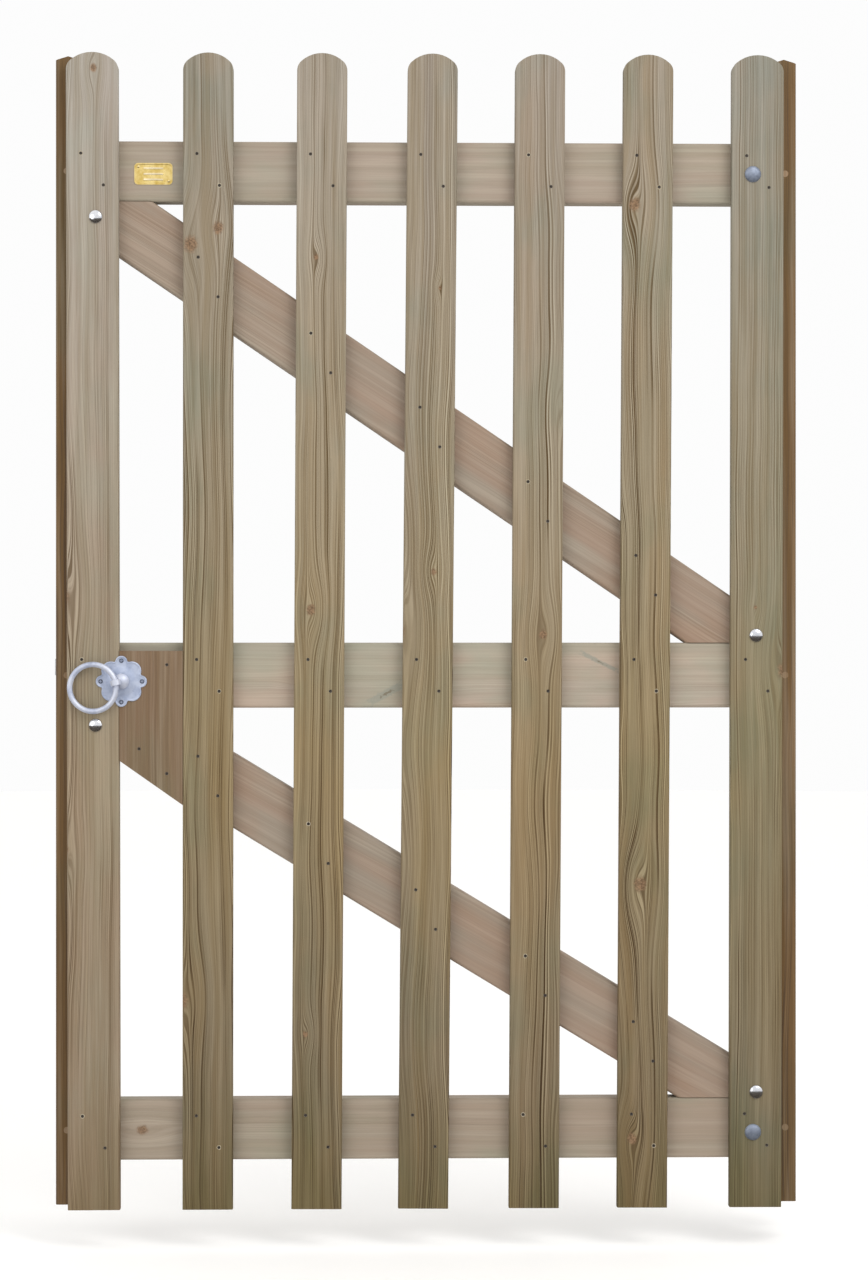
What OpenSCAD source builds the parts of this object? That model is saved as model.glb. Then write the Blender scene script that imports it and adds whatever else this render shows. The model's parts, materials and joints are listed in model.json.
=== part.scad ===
// Garden gate: round-topped pickets nailed to a framed and braced leaf, hung on
// hook-and-band hinges, with a ring latch that lifts a bar on the back.
// X runs along the leaf, Y from its front to its back, Z up. Sizes are in millimetres.

/* [Leaf] */
// Width of the leaf over its two stiles
leaf_w = 1127; // [900:1:1400]
// Length of a picket
picket_len = 1750; // [1700:1:2150]
// Width of the inner pickets
picket_w = 76; // [60:1:95]
// Width of the two end pickets
end_picket_w = 79; // [62:1:98]
// Thickness of the pickets
picket_t = 20; // [16:1:26]
// Distance from the leaf's edge to the end picket
picket_inset = 18.5; // [10:0.5:24]
// Rise of a picket's rounded top above its straight sides
top_rise = 26.5; // [22:0.5:28]
// Radius of the tighter curves at a picket's shoulders
shoulder_r = 19; // [10:0.5:20]
// Radius of the pickets' long edges
picket_edge_r = 3; // [1:0.5:4]

/* [Frame] */
// Thickness of the stiles, rails and braces
frame_t = 38; // [32:1:46]
// Width of a stile
stile_w = 38; // [32:1:44]
// Drop from the picket tops to the ridge of a stile
stile_top_gap = 3; // [1:1:12]
// Gap from the picket bottoms up to the foot of a stile
stile_foot_gap = 5; // [1:1:12]
// Slope of a stile's weathered top, in degrees
stile_slope = 17; // [8:1:25]
// Depth of the top and bottom rails
rail_h = 92; // [80:1:112]
// Depth of the middle rail
middle_rail_h = 99; // [92:1:120]
// Height of the middle of the top rail above the picket bottoms
top_rail_z = 1573; // [1540:1:1640]
// Height of the middle of the middle rail
middle_rail_z = 808; // [760:1:860]
// Height of the middle of the bottom rail
bottom_rail_z = 118; // [110:1:180]
// Width of a brace
brace_w = 98; // [80:1:110]
// Height of a brace's centre line above the rail's lower edge, at the latch stile
brace_head_up = 15; // [0:1:25]
// Depth of a brace's centre line below the rail's upper edge, at the hinge stile
brace_foot_down = 30; // [15:1:40]
// Radius of the long edges of the rails, braces and stiles
frame_edge_r = 5; // [2:0.5:7]
// Length of a rail's tenon
tenon_len = 25; // [18:1:28]
// Height of a tenon
tenon_h = 60; // [40:1:66]
// Thickness of a tenon
tenon_t = 13; // [10:0.5:15]
// Diameter of the dowel through each tenon
dowel_d = 10; // [6:0.5:12]

/* [Nails and bolts] */
// Length of a picket nail
nail_len = 50; // [45:1:52]
// Diameter of a nail's shank
nail_d = 3; // [2.5:0.1:3.5]
// Diameter of a nail's head
nail_head_d = 5; // [4.5:0.1:6]
// Depth of a nail head under the surface
nail_set = 0.8; // [0.4:0.1:1.2]
// Distance of the nails from a picket's centre line
nail_dx = 17; // [10:0.5:20]
// Distance of the nails above and below a rail's centre line
nail_dz = 24; // [20:0.5:28]
// Diameter of the coach bolts through the braces
brace_bolt_d = 8; // [6:1:8]
// Diameter of their heads
brace_bolt_head_d = 21; // [19:0.5:23]
// Diameter of the coach bolts through the hinge bands
hinge_bolt_d = 10; // [8:1:10]
// Diameter of their heads
hinge_bolt_head_d = 25; // [22:0.5:26]

/* [Hinges] */
// Diameter of a hook's pin
pin_d = 16; // [12:1:19]
// Radial clearance between a pin and the band's eye
pin_clear = 0.05; // [0.02:0.01:0.1]
// Width of a hinge band
band_h = 40; // [35:1:50]
// Thickness of a hinge band
band_t = 5; // [4:0.5:6]
// Length of a band from the pin's axis to its rounded end
band_len = 400; // [330:1:480]
// Wall of the rolled eye
eye_wall = 5; // [4:0.5:6]
// Distance of the pin's axis inside the edge of the leaf
pin_inset = 8.5; // [8:0.5:14]
// Gap between the leaf and the post
post_gap = 10; // [8:0.5:16]
// Drop from the middle of a rail to the middle of its hinge band
band_drop = 4; // [0:1:8]
// Distance of the hinge bolts in from the leaf's edge
hinge_bolt_in = 69; // [50:1:80]
// Width of a hook's plate, front to back
hook_plate_w = 50; // [50:1:70]
// Height of a hook's plate
hook_plate_h = 80; // [70:1:110]
// Thickness of a hook's plate
hook_plate_t = 5; // [4:0.5:6]
// Front-to-back spacing of the plate's holes
hook_hole_y = 30; // [26:1:32]
// Vertical spacing of the plate's holes
hook_hole_z = 56; // [48:1:60]
// Diameter of the plate's holes
hook_hole_d = 8.5; // [6:0.5:9]
// Distance from the pin's axis back to the middle of the plate
hook_reach = 54; // [50:1:64]

/* [Ring latch] */
// Height of the spindle above the picket bottoms
spindle_z = 799; // [798:1:801]
// Distance of the spindle's axis past the end picket's inner edge
spindle_past = 3.5; // [2:0.5:5]
// Diameter of the spindle
spindle_d = 10; // [8:0.5:12]
// Clearance hole for the spindle through the wood
spindle_hole_d = 14; // [13:0.5:16]
// Radial running clearance of the spindle and of the bar's pivot
latch_clear = 0.05; // [0.02:0.01:0.1]
// Width of the rose plate across its four points
rose_w = 77.5; // [74:0.5:82]
// Thickness of the rose plate's rim
rose_t = 2; // [1.5:0.5:3]
// Height of the rose plate's domed middle over its rim
rose_dome_h = 3.5; // [2:0.5:4]
// Outside diameter of the ring
ring_od = 79; // [72:0.5:84]
// Diameter of the ring's bar
ring_bar_d = 8.3; // [7:0.1:9]
// Slope of the ring below level at rest, in degrees
ring_dip = 13; // [8:1:18]
// Lean of the ring towards the pickets at rest, in degrees
ring_tilt = 6; // [2:0.5:7]
// Distance from the spindle's axis to the ring's bar
eye_out = 8; // [7:0.5:10]
// Distance of the eye in front of the pickets
eye_y = 14.5; // [14:0.5:18]
// Height of the latch bar
bar_h = 25; // [20:1:30]
// Thickness of the latch bar
bar_t = 6; // [5:0.5:8]
// Distance from the spindle's axis to the bar's pivot
pivot_out = 96; // [90:1:100]
// Height of the lifter's tongue over the spindle's axis
tongue_up = 8; // [7:0.5:9]
// Reach of the lifter's tongue from the spindle's axis
tongue_len = 26; // [24:0.5:28]
// Gap between the lifter and the bar at rest
lift_gap = 0.8; // [0.6:0.1:1.2]
// Reach of the bar past the edge of the leaf
bar_past = 5; // [2:1:12]
// Height of the free way inside the keeper, above and below the bar together
keeper_travel = 38; // [38:1:46]

/* [Trim] */
// Width of the maker's plate
maker_w = 58; // [50:1:64]
// Height of the maker's plate
maker_h = 33; // [28:1:40]
// Distance of the plate's middle from the leaf's latch edge
maker_in = 148; // [140:1:152]
// Height of the lock block's top above the middle rail's centre line
block_up = 37; // [30:1:44]
// Length of the lock block's shorter edge
block_len = 166; // [150:1:200]
// Slope of the lock block's lower end, in degrees
block_slope = 35; // [20:1:40]

/* [Hidden] */
// each picket's own small offset along the leaf, and how far its top leans
picket_shift = [0, 5, 5, 1, -2, -6, -5];
picket_lean = [-3, 1, 9, 15, 10, 10, 4];
picket_count = len(picket_shift);
$fn = 48;
cut = 1;                       // how far a cutting shape runs past a face
picket_color = "#a99f83";
frame_color = "#a39080";
stile_color = "#8b7765";
zinc_color = "#aab2b8";
bright_color = "#c9ced2";
brass_color = "#c9ae5b";

// where the leaf's parts stand
half_w = leaf_w / 2;
inner_x = half_w - stile_w;    // a stile's inner face
frame_y = picket_t;            // front of the frame
back_y = picket_t + frame_t;   // back of the frame
mid_y = picket_t + frame_t / 2;
latch_picket_x = -half_w + picket_inset + end_picket_w / 2;
hinge_picket_x = half_w - picket_inset - end_picket_w / 2;
picket_pitch = (hinge_picket_x - latch_picket_x) / (picket_count - 1);

// the hinges
pin_x = half_w - pin_inset;
pin_y = back_y + pin_d / 2 + pin_clear + eye_wall;
post_x = half_w + post_gap;
hook_y = pin_y + hook_reach;
arm_t = 16;                    // height of a hook's arm
arm_extra = 4;                 // how much wider than the pin the arm's end is
arm_clear = 4;                 // keeps the arm's inner face clear of the open leaf
arm_root = 12;                 // length of the arm's splay onto its plate
arm_web = 4;                   // thickness of the splay beside the plate
arm_gap = 0.5;                 // between the arm and the band's eye
pin_rise = 6;                  // how far a pin stands above the eye
upper_band_z = top_rail_z - band_drop;
lower_band_z = bottom_rail_z - band_drop;
hinge_bolt_x = half_w - hinge_bolt_in;
screw_step = 95;               // between the coach screws of a band
screw_in = 33;                 // depth of a coach screw in the rail
screw_d = 8;
screw_head_h = 5.5;
screw_head_af = 13;            // across the flats

// nails, bolts and small screws
nail_head_t = 1.4;
shank_start = 1.2;             // a nail's shank starts this far into its head
brace_nail_in = 2;             // brace nails stand this much nearer the picket's middle
brace_nail_dz = 30;            // and this far above and below the brace's centre line
neck_len = 5;                  // square neck of a coach bolt
brace_bolt_head_h = 4.5;
hinge_bolt_head_h = 5;
washer_d = 22;
washer_t = 2;
brace_nut_af = 13;
brace_nut_h = 7;
hinge_nut_af = 17;
hinge_nut_h = 8;
bolt_end = 4;                  // how far a bolt stands out of its nut
small_screw_d = 3.5;
small_head_d = 7;
small_head_h = 2;
rose_screw_len = 18;
back_screw_len = 20;
keeper_screw_len = 12;

// the latch
spindle_x = latch_picket_x + end_picket_w / 2 + spindle_past;
pivot_x = spindle_x + pivot_out;
bar_low_z = spindle_z + tongue_up + lift_gap;
pivot_z = bar_low_z + bar_h / 2;
pivot_d = 10;
pivot_thread_d = 8;
pivot_in = 30;                 // depth of the pivot screw in the rail
pivot_head_d = 18;
pivot_head_h = 4;
side_play = 0.4;               // beside the bar, on each side
spacer_d = 22;
plate_t = 3;                   // thickness of the back plate and keeper
bar_gap = 1;                   // between the back plate and the bar
bar_y = back_y + plate_t + bar_gap;
ring_r = (ring_od - ring_bar_d) / 2;
eye_play = 0.65;               // between the ring's bar and its eye
eye_hole_r = ring_bar_d / 2 + eye_play;
lug_r = eye_hole_r + 2.8;
lug_w = 8;
spindle_end = 3;               // how far the spindle stands out of the lifter
boss_d = 24;
boss_h = 5.5;
boss_gap = 0.3;                // between the boss and the rose plate
lifter_rim = 0.3;              // how far the tongue's top stands over the lifter's hub
tongue_t = 6;
keeper_w = 20;
keeper_foot = 20;              // length of each keeper flange
keeper_gap = 0.5;              // under the bar and behind it
keeper_screw_in = 10;          // from the keeper's bend to its screw
rose_lobe_r = 12;
rose_lobe_in = 14;             // from the plate's reach in to a round lobe's middle
rose_tip = 7;                  // length of a pointed lobe's tip
rose_tip_half = 7.5;
rose_root_half = 14;
rose_dome_d = 44;
rose_screw_r = rose_w / 2 - rose_tip_half;

// the maker's plate
maker_t = 1;
maker_corner = 6;
maker_drop = 4;                // under the middle of the top rail
maker_pin_d = 2;
maker_pin_head_d = 4;
maker_pin_head_h = 1;
maker_pin_len = 10;
maker_pin_in = 5.5;            // from the plate's upper or lower edge

// a flat board's section with rounded long edges, centred on x, from y = 0
module edged_section(w, t, r) {
    translate([-w / 2 + r, 0]) square([w - 2 * r, t]);
    translate([-w / 2, r]) square([w, t - 2 * r]);
    for (x = [-w / 2 + r, w / 2 - r], y = [r, t - r]) translate([x, y]) circle(r);
}

// a board standing on z = 0
module standing_board(w, t, r, h) linear_extrude(h) edged_section(w, t, r);

// a cylinder along +y from the given point
module along_y(x, y, z, d, len) translate([x, y, z]) rotate([-90, 0, 0]) cylinder(d = d, h = len);

// the front outline of a picket: three arcs that meet smoothly
module picket_outline(w) {
    spring_z = picket_len - top_rise;
    side = w / 2 - shoulder_r;
    rise = top_rise - shoulder_r;
    drop = (side * side - rise * rise) / (2 * rise);
    crown_r = top_rise + drop;
    translate([-w / 2, 0]) square([w, spring_z]);
    for (s = [-1, 1]) translate([s * side, spring_z]) circle(shoulder_r, $fn = 96);
    intersection() {
        translate([0, spring_z - drop]) circle(crown_r, $fn = 192);
        polygon([[0, spring_z - drop],
                 [-side * 2, spring_z + drop], [-side * 2, picket_len + cut],
                 [side * 2, picket_len + cut], [side * 2, spring_z + drop]]);
        translate([-w / 2, spring_z]) square([w, top_rise + cut]);
    }
}

function picket_x(i) = latch_picket_x + (i - 1) * picket_pitch + picket_shift[i - 1];
function picket_turn(i) = atan(picket_lean[i - 1] / picket_len);
function picket_x_at(i, z) = picket_x(i) + (z - picket_len / 2) * tan(picket_turn(i));
function picket_width(i) = (i == 1 || i == picket_count) ? end_picket_w : picket_w;

// the centre line of a brace between the rails above and below it
function brace_head_z(upper) = upper
    ? top_rail_z - rail_h / 2 + brace_head_up : middle_rail_z - middle_rail_h / 2 + brace_head_up;
function brace_foot_z(upper) = upper
    ? middle_rail_z + middle_rail_h / 2 - brace_foot_down : bottom_rail_z + rail_h / 2 - brace_foot_down;
function brace_rise(upper) = (brace_foot_z(upper) - brace_head_z(upper)) / (2 * inner_x);
function brace_z(upper, x) = brace_head_z(upper) + (x + inner_x) * brace_rise(upper);

// every nail as [x, z]: two to a picket at each rail, and two where it crosses a brace
rail_zs = [top_rail_z, middle_rail_z, bottom_rail_z];
rail_nails = [for (i = [1:picket_count], z = rail_zs, s = [-1, 1])
    [picket_x_at(i, z) + s * nail_dx, z - s * nail_dz]];
brace_nails = [for (i = [2:picket_count - 1], u = [true, false], s = [-1, 1])
    let (z = brace_z(u, picket_x(i)))
    [picket_x_at(i, z) + s * (nail_dx - brace_nail_in), z - s * brace_nail_dz]];
all_nails = concat(rail_nails, brace_nails);
// the lock block between the two pickets, and its three nails: one in the rail, two in the brace
block_x0 = picket_x_at(1, middle_rail_z) + end_picket_w / 2;
block_x1 = picket_x_at(2, middle_rail_z) - picket_w / 2;
block_top_z = middle_rail_z + block_up;
block_nail_left = 30;          // from the block's left side
block_nail_right = 24;         // from its right side
block_nail_top = 21;           // from its top
left_nail_drop = 22;           // under the brace's centre line
right_nail_drop = 34;
block_nails = [[block_x1 - block_nail_right, block_top_z - block_nail_top],
    [block_x0 + block_nail_left, brace_z(false, block_x0 + block_nail_left) - left_nail_drop],
    [block_x1 - block_nail_right, brace_z(false, block_x1 - block_nail_right) - right_nail_drop]];
// the brace bolts as [x, z]: one at each end of each brace
head_bolt_in = 62;             // from the leaf's edge at a brace's head
foot_bolt_in = 64;             // and at its foot
head_bolt_drop = 26;           // below the rail at a brace's head
foot_bolt_up = 11;             // above the rail at its foot
brace_bolt_places = [[-half_w + head_bolt_in, top_rail_z - rail_h / 2 - head_bolt_drop],
    [half_w - foot_bolt_in, middle_rail_z + middle_rail_h / 2 + foot_bolt_up],
    [-half_w + head_bolt_in, middle_rail_z - middle_rail_h / 2 - head_bolt_drop],
    [half_w - foot_bolt_in, bottom_rail_z + rail_h / 2 + foot_bolt_up]];
hinge_bolt_places = [[hinge_bolt_x, upper_band_z], [hinge_bolt_x, lower_band_z]];
hinge_screw_places = [for (z = [upper_band_z, lower_band_z], k = [1:3]) [hinge_bolt_x - k * screw_step, z]];
dowel_off = 2;                 // outward from the stile's middle
dowel_places = [for (s = [-1, 1], z = rail_zs) [s * (half_w - stile_w / 2 + dowel_off), z]];
maker_x = -half_w + maker_in;
maker_z = top_rail_z - maker_drop;
maker_pin_places = [for (s = [-1, 1])
    [maker_x + s * (maker_w / 2 - maker_corner), maker_z - s * (maker_h / 2 - maker_pin_in)]];
rose_screw_places = [for (a = [0:90:270])
    [spindle_x + rose_screw_r * cos(a), spindle_z + rose_screw_r * sin(a)]];
back_plate_w = 60;
back_screw_r = back_plate_w / 2;
back_screw_places = [for (a = [45:90:315])
    [spindle_x + back_screw_r * cos(a), spindle_z + back_screw_r * sin(a)]];
keeper_x = -half_w + stile_w / 2;
keeper_low_z = bar_low_z - keeper_gap;
keeper_high_z = bar_low_z + bar_h + keeper_travel;
keeper_screw_places = [for (z = [keeper_low_z - plate_t - keeper_screw_in,
                                 keeper_high_z + plate_t + keeper_screw_in]) [keeper_x, z]];

// solids of the fasteners, drawn at [x, z]
module nail(p) {
    along_y(p[0], nail_set, p[1], nail_head_d, nail_head_t);
    along_y(p[0], nail_set + shank_start, p[1], nail_d, nail_len - shank_start);
}
module nail_hole(p) {
    along_y(p[0], -cut, p[1], nail_head_d, nail_set + nail_head_t + cut);
    along_y(p[0], 0, p[1], nail_d, nail_set + nail_len);
}
module coach_bolt(p, d, head_d, head_h, len) {
    ball_r = (head_d * head_d / 4 + head_h * head_h) / (2 * head_h);
    intersection() {
        translate([p[0], ball_r - head_h, p[1]]) sphere(ball_r, $fn = 96);
        along_y(p[0], -head_h, p[1], head_d, head_h);
    }
    coach_bolt_way(p, d, len);
}
// the shank and square neck, which the bolt and its hole share
module coach_bolt_way(p, d, len) {
    along_y(p[0], 0, p[1], d, len);
    translate([p[0] - d / 2, 0, p[1] - d / 2]) cube([d, neck_len, d]);
}
module washer(p, y, hole) difference() {
    along_y(p[0], y, p[1], washer_d, washer_t);
    along_y(p[0], y - cut, p[1], hole, washer_t + 2 * cut);
}
module hex(p, y, af, h)
    translate([p[0], y, p[1]]) rotate([-90, 0, 0]) cylinder(d = af / cos(30), h = h, $fn = 6);
module nut(p, y, af, h, hole) difference() {
    hex(p, y, af, h);
    along_y(p[0], y - cut, p[1], hole, h + 2 * cut);
}
// a countersunk screw driven along +y, or along -y when turned
module wood_screw(p, y, len, turned = false)
    translate([p[0], y, p[1]]) rotate([turned ? 90 : -90, 0, 0]) {
        cylinder(d1 = small_head_d, d2 = small_screw_d, h = small_head_h);
        cylinder(d = small_screw_d, h = len);
    }

brace_bolt_len = back_y + washer_t + brace_nut_h + bolt_end;
hinge_bolt_len = back_y + band_t + washer_t + hinge_nut_h + bolt_end;

// everything that passes through the wood
module nail_ways() for (p = all_nails) nail_hole(p);
module brace_bolt_ways() for (p = brace_bolt_places) coach_bolt_way(p, brace_bolt_d, brace_bolt_len);
module hinge_bolt_ways() for (p = hinge_bolt_places) coach_bolt_way(p, hinge_bolt_d, hinge_bolt_len);
// a hole of the given depth from the back of the frame
module back_way(x, z, d, depth) along_y(x, back_y - depth, z, d, depth + cut);
module hinge_screw_ways() for (p = hinge_screw_places) back_way(p[0], p[1], screw_d, screw_in);
module spindle_way() along_y(spindle_x, -cut, spindle_z, spindle_hole_d, back_y + 2 * cut);
module rose_screw_ways() for (p = rose_screw_places)
    along_y(p[0], -cut, p[1], small_screw_d, rose_screw_len + cut);
module back_screw_ways() for (p = back_screw_places)
    back_way(p[0], p[1], small_screw_d, back_screw_len - plate_t);
module pivot_way() back_way(pivot_x, pivot_z, pivot_thread_d, pivot_in);
module block_nail_ways() for (p = block_nails) nail_hole(p);

// the origin is the middle of the face that the lower hook's plate turns to the post
lower_hook_z = hook_mid_z(lower_band_z);
function hook_mid_z(band_z) = band_z - band_h / 2 - arm_gap - hook_plate_h / 2;
module placed() translate([-post_x, -hook_y, -lower_hook_z]) children();

module picket(i) color(picket_color) placed() difference() {
    translate([picket_x(i), 0, picket_len / 2]) rotate([0, picket_turn(i), 0])
        translate([0, 0, -picket_len / 2]) intersection() {
            standing_board(picket_width(i), picket_t, picket_edge_r, picket_len + cut);
            translate([0, picket_t + cut, 0]) rotate([90, 0, 0])
                linear_extrude(picket_t + 2 * cut) picket_outline(picket_width(i));
        }
    nail_ways();
    brace_bolt_ways();
    hinge_bolt_ways();
    spindle_way();
    rose_screw_ways();
}

// side is -1 for the latch stile and 1 for the hinge stile
module stile(side) color(stile_color) placed() difference() {
    h = picket_len - stile_top_gap - stile_foot_gap;
    fall = tan(stile_slope) * stile_w / 2;
    translate([side * (half_w - stile_w / 2), frame_y, stile_foot_gap]) intersection() {
        standing_board(stile_w, frame_t, frame_edge_r, h);
        rotate([90, 0, 0]) translate([0, 0, -frame_t - cut]) linear_extrude(frame_t + 2 * cut)
            polygon([[-stile_w, 0], [stile_w, 0],
                     [stile_w, h - 2 * fall], [0, h], [-stile_w, h - 2 * fall]]);
    }
    mortise_x = side > 0 ? inner_x - cut : -inner_x - tenon_len;
    for (z = rail_zs) translate([mortise_x, mid_y - tenon_t / 2, z - tenon_h / 2])
        cube([tenon_len + cut, tenon_t, tenon_h]);
    for (p = dowel_places) along_y(p[0], frame_y - cut, p[1], dowel_d, frame_t + 2 * cut);
    for (p = keeper_screw_places) back_way(p[0], p[1], small_screw_d, keeper_screw_len - plate_t);
}
module latch_stile() stile(-1);
module hinge_stile() stile(1);

module rail(z, h) color(frame_color) placed() difference() {
    union() {
        translate([-inner_x, frame_y, z]) rotate([90, 0, 90]) linear_extrude(2 * inner_x)
            rotate(90) translate([0, -frame_t]) edged_section(h, frame_t, frame_edge_r);
        translate([-inner_x - tenon_len, mid_y - tenon_t / 2, z - tenon_h / 2])
            cube([2 * (inner_x + tenon_len), tenon_t, tenon_h]);
    }
    for (p = dowel_places) along_y(p[0], frame_y, p[1], dowel_d, frame_t);
    nail_ways();
    block_nail_ways();
    hinge_bolt_ways();
    hinge_screw_ways();
    spindle_way();
    rose_screw_ways();
    back_screw_ways();
    pivot_way();
    for (p = maker_pin_places) along_y(p[0], frame_y - cut, p[1], maker_pin_d, maker_pin_len);
}
module top_rail() rail(top_rail_z, rail_h);
module middle_rail() rail(middle_rail_z, middle_rail_h);
module bottom_rail() rail(bottom_rail_z, rail_h);

// a brace fills its slope between the rails above and below it
module brace(upper) color(frame_color) placed() difference() {
    low = upper ? middle_rail_z + middle_rail_h / 2 : bottom_rail_z + rail_h / 2;
    high = upper ? top_rail_z - rail_h / 2 : middle_rail_z - middle_rail_h / 2;
    intersection() {
        translate([0, frame_y, brace_z(upper, 0)]) rotate([0, -atan(brace_rise(upper)), 0])
            translate([-leaf_w, 0, 0]) rotate([90, 0, 90]) linear_extrude(2 * leaf_w)
                rotate(90) translate([0, -frame_t]) edged_section(brace_w, frame_t, frame_edge_r);
        translate([-inner_x, frame_y, low]) cube([2 * inner_x, frame_t, high - low]);
    }
    nail_ways();
    block_nail_ways();
    brace_bolt_ways();
    back_screw_ways();
}
module upper_brace() brace(true);
module lower_brace() brace(false);

module lock_block() color(stile_color) placed() difference() {
    w = block_x1 - block_x0;
    // the block's sides follow the two pickets beside it
    translate([0, picket_t, 0]) rotate([90, 0, 0]) linear_extrude(picket_t) polygon([
        [picket_x_at(1, block_top_z) + end_picket_w / 2, block_top_z],
        [picket_x_at(1, block_top_z - block_len) + end_picket_w / 2, block_top_z - block_len],
        [picket_x_at(2, block_top_z - block_len - w * tan(block_slope)) - picket_w / 2,
         block_top_z - block_len - w * tan(block_slope)],
        [picket_x_at(2, block_top_z) - picket_w / 2, block_top_z]]);
    block_nail_ways();
    spindle_way();
    rose_screw_ways();
}

module tenon_dowels() color(stile_color) placed()
    for (p = dowel_places) along_y(p[0], frame_y, p[1], dowel_d, frame_t);
module picket_nails() color(zinc_color) placed() for (p = all_nails) nail(p);
module lock_block_nails() color(zinc_color) placed() for (p = block_nails) nail(p);

module maker_plate() color(brass_color) placed() difference() {
    translate([maker_x, frame_y, maker_z]) rotate([90, 0, 0]) linear_extrude(maker_t) {
        square([maker_w - 2 * maker_corner, maker_h], center = true);
        square([maker_w, maker_h - 2 * maker_corner], center = true);
        for (x = [-1, 1], z = [-1, 1])
            translate([x * (maker_w / 2 - maker_corner), z * (maker_h / 2 - maker_corner)])
                circle(maker_corner);
    }
    for (p = maker_pin_places)
        along_y(p[0], frame_y - maker_t - cut, p[1], maker_pin_d, maker_t + 2 * cut);
}
module maker_plate_pins() color(brass_color) placed() for (p = maker_pin_places) {
    along_y(p[0], frame_y - maker_t - maker_pin_head_h, p[1], maker_pin_head_d, maker_pin_head_h);
    along_y(p[0], frame_y - maker_t - maker_pin_head_h / 2, p[1], maker_pin_d, maker_pin_len);
}

module brace_bolts() color(bright_color) placed()
    for (p = brace_bolt_places)
        coach_bolt(p, brace_bolt_d, brace_bolt_head_d, brace_bolt_head_h, brace_bolt_len);
module brace_washers() color(zinc_color) placed()
    for (p = brace_bolt_places) washer(p, back_y, brace_bolt_d);
module brace_nuts() color(zinc_color) placed()
    for (p = brace_bolt_places) nut(p, back_y + washer_t, brace_nut_af, brace_nut_h, brace_bolt_d);
module hinge_bolts() color(zinc_color) placed()
    for (p = hinge_bolt_places)
        coach_bolt(p, hinge_bolt_d, hinge_bolt_head_d, hinge_bolt_head_h, hinge_bolt_len);
module hinge_washers() color(zinc_color) placed()
    for (p = hinge_bolt_places) washer(p, back_y + band_t, hinge_bolt_d);
module hinge_nuts() color(zinc_color) placed()
    for (p = hinge_bolt_places)
        nut(p, back_y + band_t + washer_t, hinge_nut_af, hinge_nut_h, hinge_bolt_d);
module hinge_screws() color(zinc_color) placed() for (p = hinge_screw_places) {
    hex(p, back_y + band_t, screw_head_af, screw_head_h);
    along_y(p[0], back_y - screw_in, p[1], screw_d, screw_in + band_t + cut);
}

module hinge_band(z) color(zinc_color) placed() difference() {
    bore_d = pin_d + 2 * pin_clear;
    union() {
        translate([pin_x, back_y + band_t, z]) rotate([90, 0, 0]) linear_extrude(band_t) {
            translate([-band_len + band_h / 2, -band_h / 2]) square([band_len - band_h / 2, band_h]);
            translate([-band_len + band_h / 2, 0]) circle(band_h / 2, $fn = 96);
        }
        translate([pin_x, pin_y, z - band_h / 2])
            cylinder(d = bore_d + 2 * eye_wall, h = band_h, $fn = 96);
    }
    translate([pin_x, pin_y, z - band_h / 2 - cut])
        cylinder(d = bore_d, h = band_h + 2 * cut, $fn = 96);
    for (p = hinge_bolt_places) along_y(p[0], back_y - cut, p[1], hinge_bolt_d, band_t + 2 * cut);
    for (p = hinge_screw_places) along_y(p[0], back_y - cut, p[1], screw_d, band_t + 2 * cut);
}
module upper_hinge_band() hinge_band(upper_band_z);
module lower_hinge_band() hinge_band(lower_band_z);

// the plate and the arm that carries the pin, as one forging
module hook_plate(band_z) color(zinc_color) placed() difference() {
    mid_z = hook_mid_z(band_z);
    top_z = band_z - band_h / 2 - arm_gap;
    arm_in = pin_x - pin_d / 2 + arm_clear;
    arm_out = pin_x + pin_d / 2;
    plate_x = post_x - hook_plate_t;
    plate_y = hook_y - hook_plate_w / 2;
    union() {
        translate([plate_x, plate_y, mid_z - hook_plate_h / 2])
            cube([hook_plate_t, hook_plate_w, hook_plate_h]);
        translate([0, 0, top_z - arm_t]) linear_extrude(arm_t) {
            translate([pin_x, pin_y]) circle(d = pin_d + arm_extra);
            polygon([[arm_in, pin_y], [arm_out, pin_y], [arm_out, plate_y], [plate_x + cut, plate_y],
                     [plate_x + cut, hook_y - arm_web], [plate_x - arm_web, hook_y - arm_web],
                     [arm_in, plate_y + arm_root]]);
        }
    }
    translate([pin_x, pin_y, top_z - arm_t - cut]) cylinder(d = pin_d, h = arm_t + 2 * cut, $fn = 96);
    for (y = [-1, 1], z = [-1, 1])
        translate([arm_in - cut, hook_y + y * hook_hole_y / 2, mid_z + z * hook_hole_z / 2])
            rotate([0, 90, 0]) cylinder(d = hook_hole_d, h = post_x - arm_in + 2 * cut);
}
module hook_pin(band_z) color(zinc_color) placed()
    translate([pin_x, pin_y, band_z - band_h / 2 - arm_gap - arm_t])
        cylinder(d = pin_d, h = arm_t + arm_gap + band_h + pin_rise, $fn = 96);
module upper_hook_plate() hook_plate(upper_band_z);
module upper_hook_pin() hook_pin(upper_band_z);
module lower_hook_plate() hook_plate(lower_band_z);
module lower_hook_pin() hook_pin(lower_band_z);

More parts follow.
